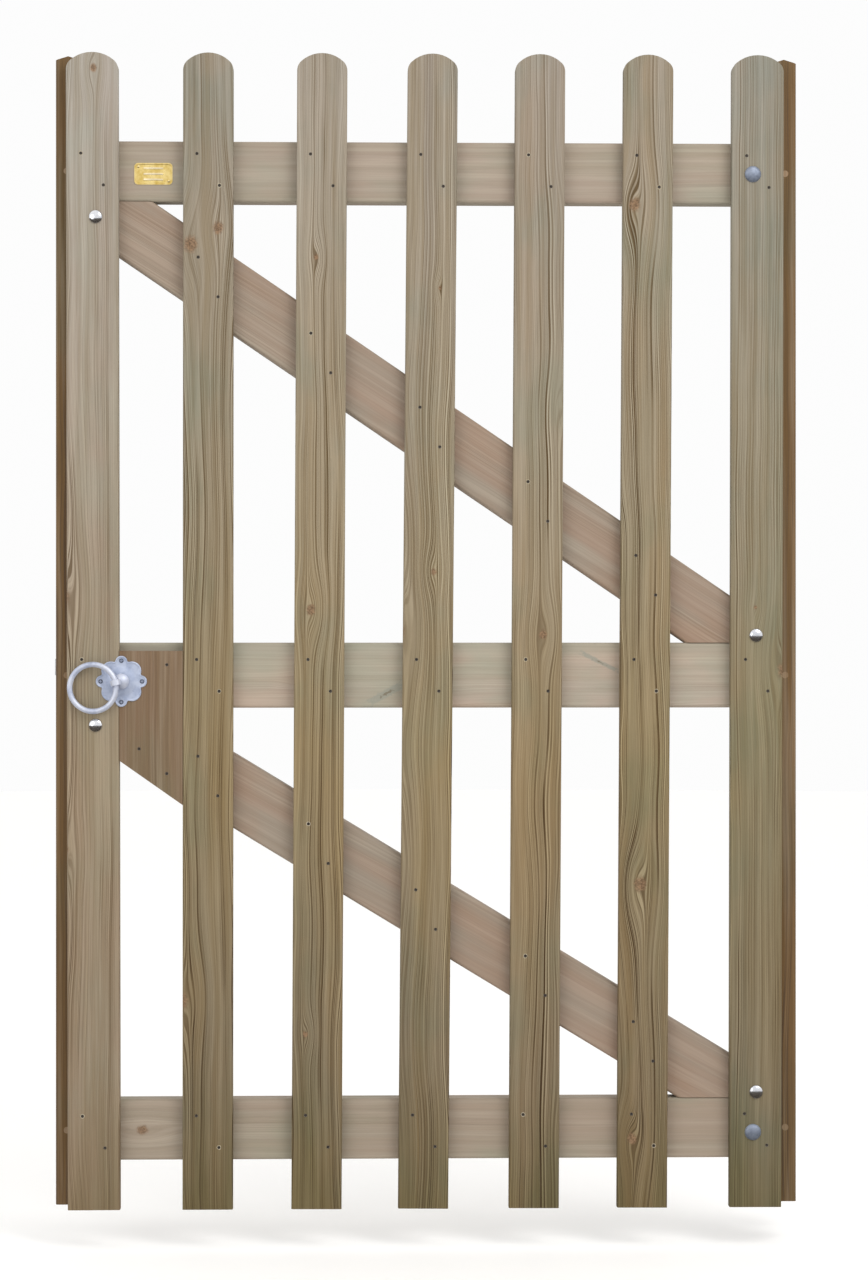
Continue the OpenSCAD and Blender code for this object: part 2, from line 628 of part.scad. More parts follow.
// a plate with four pointed and four round lobes, and a domed middle
module rose_plate() color(bright_color) placed() difference() {
    ball_r = (rose_dome_d * rose_dome_d / 4 + rose_dome_h * rose_dome_h) / (2 * rose_dome_h);
    front_y = -rose_t - rose_dome_h;
    reach = rose_w / 2;
    root = rose_lobe_r;
    union() {
        translate([spindle_x, 0, spindle_z]) rotate([90, 0, 0]) linear_extrude(rose_t) {
            circle(reach - rose_lobe_r, $fn = 96);
            for (a = [45:90:315]) rotate(a)
                translate([reach - rose_lobe_in, 0]) circle(rose_lobe_r, $fn = 64);
            for (a = [0:90:270]) rotate(a)
                polygon([[root, -rose_root_half], [reach - rose_tip, -rose_tip_half], [reach, 0],
                         [reach - rose_tip, rose_tip_half], [root, rose_root_half]]);
        }
        intersection() {
            translate([spindle_x, ball_r + front_y, spindle_z]) sphere(ball_r, $fn = 128);
            along_y(spindle_x, front_y, spindle_z, rose_dome_d, -front_y);
        }
    }
    along_y(spindle_x, front_y - cut, spindle_z, spindle_d + 2 * latch_clear, 2 * cut - front_y);
    rose_screw_set();
}
module rose_screw_set() for (p = rose_screw_places) wood_screw(p, -rose_t, rose_screw_len);
module rose_screws() color(bright_color) placed() rose_screw_set();

// the direction from the spindle to the ring's middle, and the eye's middle
ring_dir = 180 + ring_dip;
eye_pos = [spindle_x + eye_out * cos(ring_dir), -eye_y, spindle_z + eye_out * sin(ring_dir)];
boss_y = rose_t + rose_dome_h + boss_gap;
module at_eye() translate(eye_pos) rotate([0, -ring_dip, 0]) children();

// the spindle with its domed boss and the lug that holds the ring
module spindle() color(bright_color) placed() difference() {
    ball_r = (boss_d * boss_d / 4 + boss_h * boss_h) / (2 * boss_h);
    union() {
        along_y(spindle_x, -boss_y, spindle_z, spindle_d, boss_y + bar_y + bar_t + spindle_end);
        intersection() {
            translate([spindle_x, ball_r - boss_h - boss_y, spindle_z]) sphere(ball_r, $fn = 96);
            along_y(spindle_x, -boss_y - boss_h, spindle_z, boss_d, boss_h);
        }
        at_eye() translate([0, 0, -lug_w / 2]) cylinder(r = lug_r, h = lug_w);
    }
    at_eye() translate([0, 0, -lug_w]) cylinder(r = eye_hole_r, h = 2 * lug_w);
}
module lifter() color(zinc_color) placed()
    translate([spindle_x, bar_y + bar_t, spindle_z]) rotate([90, 0, 0]) difference() {
        union() {
            cylinder(r = tongue_up - lifter_rim, h = bar_t);
            linear_extrude(bar_t)
                polygon([[-1, tongue_up - 1], [1, tongue_up], [tongue_len, tongue_up],
                         [tongue_len, tongue_up - tongue_t], [spindle_d / 2, -spindle_d / 2]]);
        }
        translate([0, 0, -cut]) cylinder(d = spindle_d, h = bar_t + 2 * cut);
    }
module ring() color(bright_color) placed() at_eye() rotate([0, 0, -ring_tilt])
    translate([-ring_r, 0, 0]) rotate([90, 0, 0])
        rotate_extrude($fn = 128) translate([ring_r, 0]) circle(d = ring_bar_d);

module back_plate() color(zinc_color) placed() difference() {
    translate([spindle_x - back_plate_w / 2, back_y, spindle_z - back_plate_w / 2])
        cube([back_plate_w, plate_t, back_plate_w]);
    along_y(spindle_x, back_y - cut, spindle_z, spindle_d + 2 * latch_clear, plate_t + 2 * cut);
    back_screw_set();
}
module back_screw_set()
    for (p = back_screw_places) wood_screw(p, back_y + plate_t, back_screw_len, true);
module back_plate_screws() color(zinc_color) placed() back_screw_set();

module latch_bar() color(zinc_color) placed() difference() {
    translate([0, bar_y + bar_t, 0]) rotate([90, 0, 0]) linear_extrude(bar_t) {
        translate([-half_w - bar_past, bar_low_z]) square([half_w + bar_past + pivot_x, bar_h]);
        translate([pivot_x, pivot_z]) circle(bar_h / 2);
    }
    along_y(pivot_x, bar_y - cut, pivot_z, pivot_d + 2 * latch_clear, bar_t + 2 * cut);
}
module pivot_screw() color(zinc_color) placed() {
    head_y = bar_y + bar_t + side_play;
    along_y(pivot_x, back_y - pivot_in, pivot_z, pivot_thread_d, pivot_in);
    along_y(pivot_x, back_y, pivot_z, pivot_d, head_y - back_y);
    along_y(pivot_x, head_y, pivot_z, pivot_head_d, pivot_head_h);
}
module pivot_spacer() color(zinc_color) placed() difference() {
    along_y(pivot_x, back_y, pivot_z, spacer_d, plate_t + bar_gap - side_play);
    along_y(pivot_x, back_y - cut, pivot_z, pivot_d, plate_t + bar_gap + 2 * cut);
}

// the strap that the bar slides in, screwed to the latch stile
module latch_keeper() color(zinc_color) placed() difference() {
    depth = bar_y + bar_t + keeper_gap + plate_t - back_y;
    union() {
        translate([keeper_x - keeper_w / 2, back_y, keeper_low_z - plate_t - keeper_foot])
            cube([keeper_w, plate_t, keeper_high_z - keeper_low_z + 2 * (plate_t + keeper_foot)]);
        translate([keeper_x - keeper_w / 2, back_y, keeper_low_z - plate_t])
            cube([keeper_w, depth, keeper_high_z - keeper_low_z + 2 * plate_t]);
    }
    translate([keeper_x - keeper_w, back_y - cut, keeper_low_z])
        cube([2 * keeper_w, depth - plate_t + cut, keeper_high_z - keeper_low_z]);
    keeper_screw_set();
}
module keeper_screw_set()
    for (p = keeper_screw_places) wood_screw(p, back_y + plate_t, keeper_screw_len, true);
module keeper_screws() color(zinc_color) placed() keeper_screw_set();

for (i = [1:picket_count]) picket(i);
latch_stile();
hinge_stile();
top_rail();
middle_rail();
bottom_rail();
upper_brace();
lower_brace();
lock_block();
tenon_dowels();
picket_nails();
lock_block_nails();
maker_plate();
maker_plate_pins();
brace_bolts();
brace_washers();
brace_nuts();
hinge_bolts();
hinge_washers();
hinge_nuts();
hinge_screws();
upper_hinge_band();
lower_hinge_band();
upper_hook_plate();
upper_hook_pin();
lower_hook_plate();
lower_hook_pin();
rose_plate();
rose_screws();
spindle();
lifter();
ring();
back_plate();
back_plate_screws();
latch_bar();
pivot_screw();
pivot_spacer();
latch_keeper();
keeper_screws();
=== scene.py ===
import json
import math
import random

import bmesh
import bpy
from mathutils import Matrix, Vector

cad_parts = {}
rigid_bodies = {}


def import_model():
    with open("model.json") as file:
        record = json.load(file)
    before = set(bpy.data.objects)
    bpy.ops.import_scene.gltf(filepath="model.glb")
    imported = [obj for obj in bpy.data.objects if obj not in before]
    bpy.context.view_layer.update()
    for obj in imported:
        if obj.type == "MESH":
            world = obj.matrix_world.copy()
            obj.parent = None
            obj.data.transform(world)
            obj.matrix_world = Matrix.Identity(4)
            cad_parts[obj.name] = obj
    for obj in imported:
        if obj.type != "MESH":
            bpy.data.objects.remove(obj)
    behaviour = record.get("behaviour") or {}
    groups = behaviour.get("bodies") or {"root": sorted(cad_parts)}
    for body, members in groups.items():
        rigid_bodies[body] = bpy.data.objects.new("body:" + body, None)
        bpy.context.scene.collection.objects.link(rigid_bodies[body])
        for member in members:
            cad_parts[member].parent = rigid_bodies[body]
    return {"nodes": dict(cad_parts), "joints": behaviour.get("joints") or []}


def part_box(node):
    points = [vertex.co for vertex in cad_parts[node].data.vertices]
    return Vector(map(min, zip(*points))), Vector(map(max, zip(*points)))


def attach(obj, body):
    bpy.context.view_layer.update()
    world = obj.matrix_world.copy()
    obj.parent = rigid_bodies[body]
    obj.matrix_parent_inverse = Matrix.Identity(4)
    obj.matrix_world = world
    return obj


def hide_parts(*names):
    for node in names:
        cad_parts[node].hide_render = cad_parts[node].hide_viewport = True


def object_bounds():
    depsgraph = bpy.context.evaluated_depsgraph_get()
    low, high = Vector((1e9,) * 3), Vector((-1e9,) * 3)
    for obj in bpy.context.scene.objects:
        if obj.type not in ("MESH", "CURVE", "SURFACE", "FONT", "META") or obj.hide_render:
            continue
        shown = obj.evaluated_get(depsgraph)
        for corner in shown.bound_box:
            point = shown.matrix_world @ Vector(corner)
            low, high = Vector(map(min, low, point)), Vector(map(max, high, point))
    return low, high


for leftover in list(bpy.data.objects):
    bpy.data.objects.remove(leftover)
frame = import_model()
cadLow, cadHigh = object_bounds()
cadNodes = frame["nodes"]
jointPlaces = {joint["name"]: Vector(joint["pos_m"]) for joint in frame["joints"]}
mm = 0.001
weldReach = 1e-6  # points closer than this are one
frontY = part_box("picket_4")[0].y
print("gate frame loaded:", len(cadNodes), "nodes")


def mergedCopy(nodeName):
    bm = bmesh.new()
    bm.from_mesh(cadNodes[nodeName].data)
    bmesh.ops.remove_doubles(bm, verts=bm.verts, dist=weldReach)
    return bm


def partBoxes(nodeName):
    # lowest and highest corner of every separate bolt, nail or screw in a node, from the top down
    bm = mergedCopy(nodeName)
    waiting = set(bm.verts)
    boxes = []
    while waiting:
        first = waiting.pop()
        island, queue = [first], [first]
        while queue:
            for edge in queue.pop().link_edges:
                for vert in edge.verts:
                    if vert in waiting:
                        waiting.discard(vert)
                        island.append(vert)
                        queue.append(vert)
        low = Vector([min(vert.co[k] for vert in island) for k in range(3)])
        high = Vector([max(vert.co[k] for vert in island) for k in range(3)])
        boxes.append((low, high))
    bm.free()
    return sorted(boxes, key=lambda box: (-round(box[0].z, 3), round(box[0].x, 3)))


def middleOf(box):
    return (box[0] + box[1]) / 2


# node tree helpers

def feed(tree, socket, value):
    if isinstance(value, bpy.types.NodeSocket):
        tree.links.new(value, socket)
    else:
        socket.default_value = value


def doMath(tree, operation, first, second=0.0):
    node = tree.nodes.new("ShaderNodeMath")
    node.operation = operation
    for socket, value in zip(node.inputs, (first, second)):
        feed(tree, socket, value)
    return node.outputs[0]


def added(tree, first, *others):
    for other in others:
        first = doMath(tree, "ADD", first, other)
    return first


def scaled(tree, first, *others):
    for other in others:
        first = doMath(tree, "MULTIPLY", first, other)
    return first


def centred(tree, noise, swing):
    # a noise of 0 to 1 made to swing evenly round zero
    return scaled(tree, doMath(tree, "SUBTRACT", noise, 0.5), swing)


def ramp(tree, value, fromLow, fromHigh, toLow=0.0, toHigh=1.0, smooth=True):
    node = tree.nodes.new("ShaderNodeMapRange")
    node.interpolation_type = "SMOOTHSTEP" if smooth else "LINEAR"
    for socket, number in zip(node.inputs, (value, fromLow, fromHigh, toLow, toHigh)):
        feed(tree, socket, number)
    return node.outputs[0]


def joinXyz(tree, x, y, z):
    node = tree.nodes.new("ShaderNodeCombineXYZ")
    for socket, value in zip(node.inputs, (x, y, z)):
        feed(tree, socket, value)
    return node.outputs[0]


def splitXyz(tree, vector):
    node = tree.nodes.new("ShaderNodeSeparateXYZ")
    feed(tree, node.inputs[0], vector)
    return node.outputs[0], node.outputs[1], node.outputs[2]


def stretched(tree, vector, scale, shift=(0, 0, 0)):
    node = tree.nodes.new("ShaderNodeMapping")
    feed(tree, node.inputs["Vector"], vector)
    node.inputs["Scale"].default_value = scale
    node.inputs["Location"].default_value = shift
    return node.outputs[0]


def noiseOf(tree, vector, scale=1.0, detail=2.0, rough=0.5):
    node = tree.nodes.new("ShaderNodeTexNoise")
    feed(tree, node.inputs["Vector"], vector)
    node.inputs["Scale"].default_value = scale
    node.inputs["Detail"].default_value = detail
    node.inputs["Roughness"].default_value = rough
    return node.outputs[0]


def blendTint(tree, share, under, over, kind="MIX"):
    node = tree.nodes.new("ShaderNodeMix")
    node.data_type = "RGBA"
    node.blend_type = kind
    feed(tree, node.inputs[0], share)
    feed(tree, node.inputs[6], under)
    feed(tree, node.inputs[7], over)
    return node.outputs[2]


def addRelief(tree, shader, height, strength, distance):
    node = tree.nodes.new("ShaderNodeBump")
    node.inputs["Strength"].default_value = strength
    node.inputs["Distance"].default_value = distance
    feed(tree, node.inputs["Height"], height)
    feed(tree, shader.inputs["Normal"], node.outputs[0])


def tint(hexCode):
    # sRGB hex to the linear colour that nodes use
    parts = [int(hexCode[k:k + 2], 16) / 255 for k in (0, 2, 4)]
    return tuple((p / 12.92 if p < 0.04 else ((p + 0.055) / 1.055) ** 2.4) for p in parts) + (1.0,)


def startMaterial(name):
    material = bpy.data.materials.new(name)
    material.use_nodes = True
    shader = material.node_tree.nodes["Principled BSDF"]
    return material, material.node_tree, shader


timberLook = {
    "ringGap": 3.4 * mm,          # from one dark line to the next, through the thickness
    "pith": (-58 * mm, 26 * mm),  # heart of the tree from the board's middle: across, deep
    "wander": 3.6 * mm,           # how far the lines stray along the board
    "lineDepth": 1.0,
    "lineAtHead": 0.6,            # how strong the lines stay at the high end
    "fibreDepth": 0.12,
    "streakDepth": 0.4,
    "clear": "A3947D",
    "warm": "AC9883",
    "green": "94907A",
    "streak": "D9CDB8",
    "line": "553E16",
    "halo": "887045",
    "early": "CFC4AA",
    "knotHeart": "5E4630",
    "knotEdge": "8A6C50",
    "scar": "8A8A7E",
    "scars": [],                  # torn patches: across, along, tilt, half length, half width
    "paintedSkyLight": 0.0,               # how strongly painted sky light greens the upper edge
    "heightTones": ["FFFFFF"] * 5,    # tones from the low end to the high end
    "knots": [],                  # across, along, radius
    "rough": 0.66,
    "seed": 0.0,
}
knotShape = {
    "bendAcross": 3.0,            # reach of the bent lines, in knot radii
    "bendAlong": 7.5,
    "push": 0.92,                 # how fully the lines give way
    "swell": 0.8,
    "long": 1.25,                 # length of a knot over its width
    "ragged": 0.35,
    "raggedScale": 160,
    "edge": (1.15, 0.45),         # where a knot starts and where it is full, in its radii
    "mottleScale": 420,
    "strength": 0.85,
}
ringShape = {
    "slowSwing": 4.4,             # times the board's wander
    "quickSwing": 1.7 * mm,
    "unevenRate": 0.45,           # how quickly wide and narrow years follow each other
    "unevenDepth": 1.9,
    "weakest": 0.4,               # a year's line is between these two strengths
    "strongest": 1.4,
    "thinPerYear": 2.63,
    "thinDepth": 0.36,
}
yearBands = {                     # where a tone rises and where it falls within one year
    "late": (0.6, 0.78, 1.0, 0.94),
    "halo": (0.35, 0.85, 1.0, 0.9),
    "early": (0.0, 0.1, 0.55, 0.2),
    "thin": (0.45, 0.85, 1.0, 0.9),
}
grainScales = {                   # repeats in a metre: across, deep, along
    "slowSway": (7, 7, 2.9),
    "quickSway": (26, 26, 9),
    "fading": (26, 26, 3.2),
    "fibre": (1500, 1500, 16),
    "pale": (95, 95, 2.2),
    "broad": (22, 22, 1.3),
    "patch": (9, 9, 4.5),
}
timberTones = ("clear", "warm", "green", "streak", "line", "halo", "early", "scar")
heightTonePlaces = (0.12, 0.4, 0.6)  # where the three middle height tones lie, from the low end
heightToneDrift = 0.25
# where the painted sky light on a rail's upper edge starts and where it is full
paintedSkyLightEdges = (-20 * mm, -46 * mm)
scarShape = {"scale": 240, "ragged": 1.6, "skin": (-8 * mm, 4 * mm), "edge": (1.1, 0.6), "core": (0.35, 0.1)}
timberGloss = {"fibre": 0.14, "line": 0.12, "specular": 0.32, "relief": 0.35, "reliefDepth": 0.4 * mm}


def boardPlace(tree, middle, direction):
    # object coordinates turned into across, deep and along from the board's middle
    place = tree.nodes.new("ShaderNodeTexCoord").outputs["Object"]
    turn = math.atan2(-direction.x, direction.z)
    toBoard = tree.nodes.new("ShaderNodeMapping")
    toBoard.inputs["Rotation"].default_value = (0, turn, 0)
    toBoard.inputs["Location"].default_value = -(Matrix.Rotation(turn, 3, "Y") @ middle)
    feed(tree, toBoard.inputs["Vector"], place)
    return (place,) + splitXyz(tree, toBoard.outputs[0])


def ovalShare(tree, offAcross, offAlong, halfAcross, halfAlong):
    # 0 in the middle of an oval and 1 on its edge
    parts = []
    for off, half in ((offAcross, halfAcross), (offAlong, halfAlong)):
        share = doMath(tree, "ABSOLUTE", doMath(tree, "DIVIDE", off, half))
        parts.append(doMath(tree, "POWER", share, 2))
    return added(tree, *parts)


def bendByKnots(tree, place, across, along, knots):
    # pushes the lines aside round every knot and tells where the knots themselves are
    bent, swell, core = across, 0.0, 0.0
    for knotAcross, knotAlong, radius in knots:
        offAcross = doMath(tree, "SUBTRACT", across, knotAcross)
        offAlong = doMath(tree, "SUBTRACT", along, knotAlong)
        reachAcross, reachAlong = radius * knotShape["bendAcross"], radius * knotShape["bendAlong"]
        far = ovalShare(tree, offAcross, offAlong, reachAcross, reachAlong)
        near = doMath(tree, "EXPONENT", scaled(tree, far, -1))
        bent = doMath(tree, "SUBTRACT", bent, scaled(tree, offAcross, near, knotShape["push"]))
        swell = added(tree, swell, scaled(tree, near, radius * knotShape["swell"]))
        oval = doMath(tree, "SQRT", ovalShare(tree, offAcross, offAlong, radius, radius * knotShape["long"]))
        torn = noiseOf(tree, place, knotShape["raggedScale"], 3)
        oval = added(tree, oval, ramp(tree, torn, 0, 1, -knotShape["ragged"], knotShape["ragged"], False))
        core = doMath(tree, "MAXIMUM", core, ramp(tree, oval, *knotShape["edge"]))
    return bent, swell, core


def grainNoise(tree, flow, kind, shift, detail=2.0, rough=0.5):
    return noiseOf(tree, stretched(tree, flow, grainScales[kind], shift), 1, detail, rough)


def pithDistance(tree, flow, bent, deep, swell, values):
    # how far out from the heart of the tree a spot lies, with the slow and the quick sway of real growth
    seed = values["seed"]
    slow = grainNoise(tree, flow, "slowSway", (seed, 1.7, seed * 2), 1)
    quick = grainNoise(tree, flow, "quickSway", (seed * 3, 0.4, seed))
    sway = centred(tree, slow, values["wander"] * ringShape["slowSwing"])
    sway = added(tree, sway, centred(tree, quick, ringShape["quickSwing"]))
    pithAcross, pithDeep = values["pith"]
    sideA = doMath(tree, "POWER", doMath(tree, "SUBTRACT", bent, pithAcross), 2)
    sideB = doMath(tree, "POWER", doMath(tree, "SUBTRACT", deep, pithDeep), 2)
    radius = doMath(tree, "SQRT", added(tree, sideA, sideB))
    return added(tree, radius, sway, swell)


def seasonBand(tree, season, kind):
    riseFrom, riseTo, fallFrom, fallTo = yearBands[kind]
    return scaled(tree, ramp(tree, season, riseFrom, riseTo), ramp(tree, season, fallFrom, fallTo))


def yearTones(tree, flow, along, radius, halfLength, values):
    # strengths of the dark line, the halo beside it and the pale early wood of every year
    seed = values["seed"]
    years = doMath(tree, "DIVIDE", radius, values["ringGap"])
    uneven = tree.nodes.new("ShaderNodeTexNoise")
    uneven.noise_dimensions = "1D"
    uneven.inputs["Detail"].default_value = 0
    feed(tree, uneven.inputs["W"], added(tree, scaled(tree, years, ringShape["unevenRate"]), seed))
    years = added(tree, years, scaled(tree, uneven.outputs[0], ringShape["unevenDepth"]))
    year = doMath(tree, "FLOOR", years)
    season = doMath(tree, "FRACT", years)
    dice = tree.nodes.new("ShaderNodeTexWhiteNoise")
    dice.noise_dimensions = "1D"
    feed(tree, dice.inputs["W"], added(tree, year, seed))
    strength = ramp(tree, dice.outputs[0], 0, 1, ringShape["weakest"], ringShape["strongest"], False)
    fading = ramp(tree, grainNoise(tree, flow, "fading", (seed, seed, 5)), 0.36, 0.58, 0.3, 1)
    toHead = ramp(tree, along, 0, halfLength, 1, values["lineAtHead"])
    strength = scaled(tree, strength, fading, toHead)
    late = seasonBand(tree, season, "late")
    halo = seasonBand(tree, season, "halo")
    early = seasonBand(tree, season, "early")
    thinSeason = doMath(tree, "FRACT", scaled(tree, years, ringShape["thinPerYear"]))
    thin = scaled(tree, seasonBand(tree, thinSeason, "thin"), fading, toHead, ringShape["thinDepth"])
    line = doMath(tree, "MAXIMUM", scaled(tree, late, strength), thin)
    return line, scaled(tree, halo, strength), scaled(tree, early, strength)


def tornPatch(tree, place, across, deep, along, scar):
    # 0 in the middle of a torn patch and growing outward, on the front face only
    scarAcross, scarAlong, tilt, halfRun, halfWidth = scar
    turned = tree.nodes.new("ShaderNodeMapping")
    turned.inputs["Rotation"].default_value = (0, tilt, 0)
    offScar = joinXyz(tree, doMath(tree, "SUBTRACT", across, scarAcross), 0.0,
                      doMath(tree, "SUBTRACT", along, scarAlong))
    feed(tree, turned.inputs["Vector"], offScar)
    scarX, _, scarZ = splitXyz(tree, turned.outputs[0])
    sideways = doMath(tree, "DIVIDE", doMath(tree, "ABSOLUTE", scarX), halfWidth)
    lengthways = doMath(tree, "DIVIDE", doMath(tree, "ABSOLUTE", scarZ), halfRun)
    reach = doMath(tree, "MAXIMUM", sideways, lengthways)
    ragged = centred(tree, noiseOf(tree, place, scarShape["scale"], 4, 0.7), scarShape["ragged"])
    return added(tree, reach, ragged, ramp(tree, deep, *scarShape["skin"], 0, 2))


def heightToneRamp(tree, along, broad, halfLength, tones):
    # a tone that changes from the board's low end to its high end: on the pickets darker and browner low,
    # paler and bluer high
    node = tree.nodes.new("ShaderNodeValToRGB")
    stops = node.color_ramp.elements
    for share, hexCode in zip(heightTonePlaces, tones[1:4]):
        stops.new(share).color = tint(hexCode)
    stops[0].color = tint(tones[0])
    stops[len(stops) - 1].color = tint(tones[4])
    height = ramp(tree, along, -halfLength, halfLength, 0, 1, False)
    feed(tree, node.inputs[0], added(tree, height, centred(tree, broad, heightToneDrift)))
    return node.outputs[0]


def timberMaterial(name, middle, direction, halfLength, look):
    # solid softwood: rings round a pith that runs along the board, bent round its knots
    values = dict(timberLook)
    values.update(look)
    tones = {key: tint(values[key]) for key in timberTones}
    seed, streaks, lineDepth = values["seed"], values["streakDepth"], values["lineDepth"]
    material, tree, shader = startMaterial(name)
    place, across, deep, along = boardPlace(tree, middle, direction)
    bent, swell, core = bendByKnots(tree, place, across, along, values["knots"])
    flow = joinXyz(tree, bent, deep, along)
    radius = pithDistance(tree, flow, bent, deep, swell, values)
    line, halo, early = yearTones(tree, flow, along, radius, halfLength, values)
    fibre = grainNoise(tree, flow, "fibre", (seed, 0, 0), 2, 0.6)
    pale = grainNoise(tree, flow, "pale", (0, seed, 3), 3, 0.6)
    broad = grainNoise(tree, flow, "broad", (3, seed, 0))
    patch = grainNoise(tree, flow, "patch", (seed, 7, 2), 3, 0.6)

    shade = blendTint(tree, ramp(tree, broad, 0.34, 0.66), tones["clear"], tones["warm"])
    shade = blendTint(tree, ramp(tree, patch, 0.44, 0.7, 0, 0.75), shade, tones["green"])
    shade = blendTint(tree, ramp(tree, pale, 0.42, 0.7, 0, streaks * 0.5), shade, tones["streak"])
    shade = blendTint(tree, ramp(tree, pale, 0.56, 0.3, 0, streaks * 0.6), shade, tones["halo"])
    shade = blendTint(tree, scaled(tree, early, lineDepth * 0.4), shade, tones["early"])
    shade = blendTint(tree, scaled(tree, halo, lineDepth * 0.5), shade, tones["halo"])
    shade = blendTint(tree, scaled(tree, line, lineDepth), shade, tones["line"])
    fibreTone = ramp(tree, fibre, 0.25, 0.75, 1 - values["fibreDepth"], 1 + values["fibreDepth"], False)
    shade = blendTint(tree, 1.0, shade, joinXyz(tree, fibreTone, fibreTone, fibreTone), "MULTIPLY")
    # painted light: the upper edge is greened as if lit by the sky
    if values["paintedSkyLight"]:
        band = ramp(tree, across, *paintedSkyLightEdges, 0, values["paintedSkyLight"])
        shade = blendTint(tree, band, shade, tones["green"])
    for scar in values["scars"]:
        reach = tornPatch(tree, place, across, deep, along, scar)
        shade = blendTint(tree, ramp(tree, reach, *scarShape["edge"], 0, 0.75), shade, tones["scar"])
        shade = blendTint(tree, ramp(tree, reach, *scarShape["core"], 0, 0.5), shade, tones["line"])
    heightTones = heightToneRamp(tree, along, broad, halfLength, values["heightTones"])
    shade = blendTint(tree, 1.0, shade, heightTones, "MULTIPLY")
    if values["knots"]:
        mottle = ramp(tree, noiseOf(tree, place, knotShape["mottleScale"], 3), 0.35, 0.65)
        heart = blendTint(tree, mottle, tint(values["knotHeart"]), tint(values["knotEdge"]))
        shade = blendTint(tree, scaled(tree, core, knotShape["strength"]), shade, heart)
    feed(tree, shader.inputs["Base Color"], shade)

    gloss = added(tree, values["rough"], scaled(tree, fibre, timberGloss["fibre"]))
    gloss = doMath(tree, "SUBTRACT", gloss, scaled(tree, line, timberGloss["line"]))
    feed(tree, shader.inputs["Roughness"], gloss)
    shader.inputs["Specular IOR Level"].default_value = timberGloss["specular"]
    height = added(tree, scaled(tree, fibre, 0.5), scaled(tree, line, 0.55))
    height = doMath(tree, "SUBTRACT", height, scaled(tree, core, 0.5))
    addRelief(tree, shader, height, timberGloss["relief"], timberGloss["reliefDepth"])
    return material


def dress(nodeName, material):
    node = cadNodes[nodeName]
    node.data.materials.clear()
    node.data.materials.append(material)


footZone, headZone = 4 * mm, 30 * mm  # heights over which an upright board's two ends are measured


def endsOf(nodeName):
    # middle of an upright board's foot and head, which gives its lean
    low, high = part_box(nodeName)
    places = [vert.co for vert in cadNodes[nodeName].data.vertices]
    footSide = [place.x for place in places if place.z < low.z + footZone]
    headSide = [place.x for place in places if place.z > high.z - headZone]
    middleY = (low.y + high.y) / 2
    foot = Vector(((min(footSide) + max(footSide)) / 2, middleY, low.z))
    head = Vector(((min(headSide) + max(headSide)) / 2, middleY, high.z))
    return foot, head


def dressBoard(nodeName, middle, run, look):
    dress(nodeName, timberMaterial("timber_" + nodeName, middle, run.normalized(), run.length / 2, look))


def dressUpright(nodeName, look):
    foot, head = endsOf(nodeName)
    dressBoard(nodeName, (foot + head) / 2, head - foot, look)


def dressStraight(nodeName, direction, look):
    # a board that lies or stands true
    low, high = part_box(nodeName)
    dressBoard(nodeName, (low + high) / 2, direction * (high - low).dot(direction), look)


# pickets darker and browner at the foot, paler and bluer at the head
picketHeightTones = ["A69F80", "C2BBAF", "D6CDB7", "DEDCD8", "E0E2EF"]
picketLooks = {
    "picket_1": {
        "seed": 1.3, "pith": (-62 * mm, 30 * mm), "wander": 4.5 * mm, "lineDepth": 0.6,
        "clear": "A59C8A", "warm": "A99A89", "green": "A3A08F",
        "heightTones": ["B7AA91", "D2C8BE", "D6CDC0", "DED9D6", "E8EEF9"],
        "knots": [(2 * mm, 0.851, 6 * mm), (-46 * mm, 0.05, 12 * mm), (-45 * mm, -0.33, 9 * mm)],
    },
    "picket_2": {
        "seed": 4.1, "pith": (-66 * mm, 24 * mm), "wander": 6 * mm,
        "clear": "998E79", "warm": "9B8B6F", "green": "868772",
        "knots": [(15 * mm, 0.61, 9 * mm), (-26 * mm, 0.585, 12 * mm), (-41 * mm, -0.56, 13 * mm)],
    },
    "picket_3": {
        "seed": 7.7, "pith": (62 * mm, 26 * mm), "wander": 6 * mm,
        "clear": "A1957F", "warm": "A29174", "green": "8D8B76",
        "knots": [(-8 * mm, 0.566, 4.5 * mm), (-13 * mm, 0.032, 8 * mm), (-18 * mm, -0.61, 4.5 * mm)],
    },
    "picket_4": {
        "seed": 12.9, "pith": (-52 * mm, 30 * mm), "wander": 7 * mm,
        "clear": "A19684", "warm": "9D8E72", "green": "8E8D7A",
        "knots": [(8 * mm, 0.09, 5 * mm), (-46 * mm, 0.0, 12 * mm), (14 * mm, 0.52, 3 * mm)],
    },
    "picket_5": {
        "seed": 16.2, "pith": (58 * mm, 24 * mm), "wander": 7 * mm, "lineAtHead": 0.45, "lineDepth": 0.85,
        "clear": "9F937F", "warm": "A29076", "green": "8F8D79",
        "knots": [(9 * mm, -0.005, 7 * mm), (44 * mm, 0.35, 8 * mm)],
    },
    "picket_6": {
        "seed": 21.4, "pith": (-55 * mm, 22 * mm), "wander": 8 * mm,
        "clear": "9E937C", "warm": "A08C6C", "green": "88876E",
        "knots": [(-20 * mm, 0.647, 10 * mm), (-6 * mm, -0.384, 11 * mm), (-16 * mm, -0.77, 8 * mm)],
    },
    "picket_7": {
        "seed": 27.0, "pith": (70 * mm, 28 * mm), "lineDepth": 0.75,
        "clear": "928E7B", "warm": "948971", "green": "818472",
        "knots": [(42 * mm, -0.06, 11 * mm), (-2 * mm, 0.036, 3 * mm)],
    },
}
for picketName, picketLook in picketLooks.items():
    picketLook.setdefault("heightTones", picketHeightTones)
    dressUpright(picketName, picketLook)
print("pickets grained")

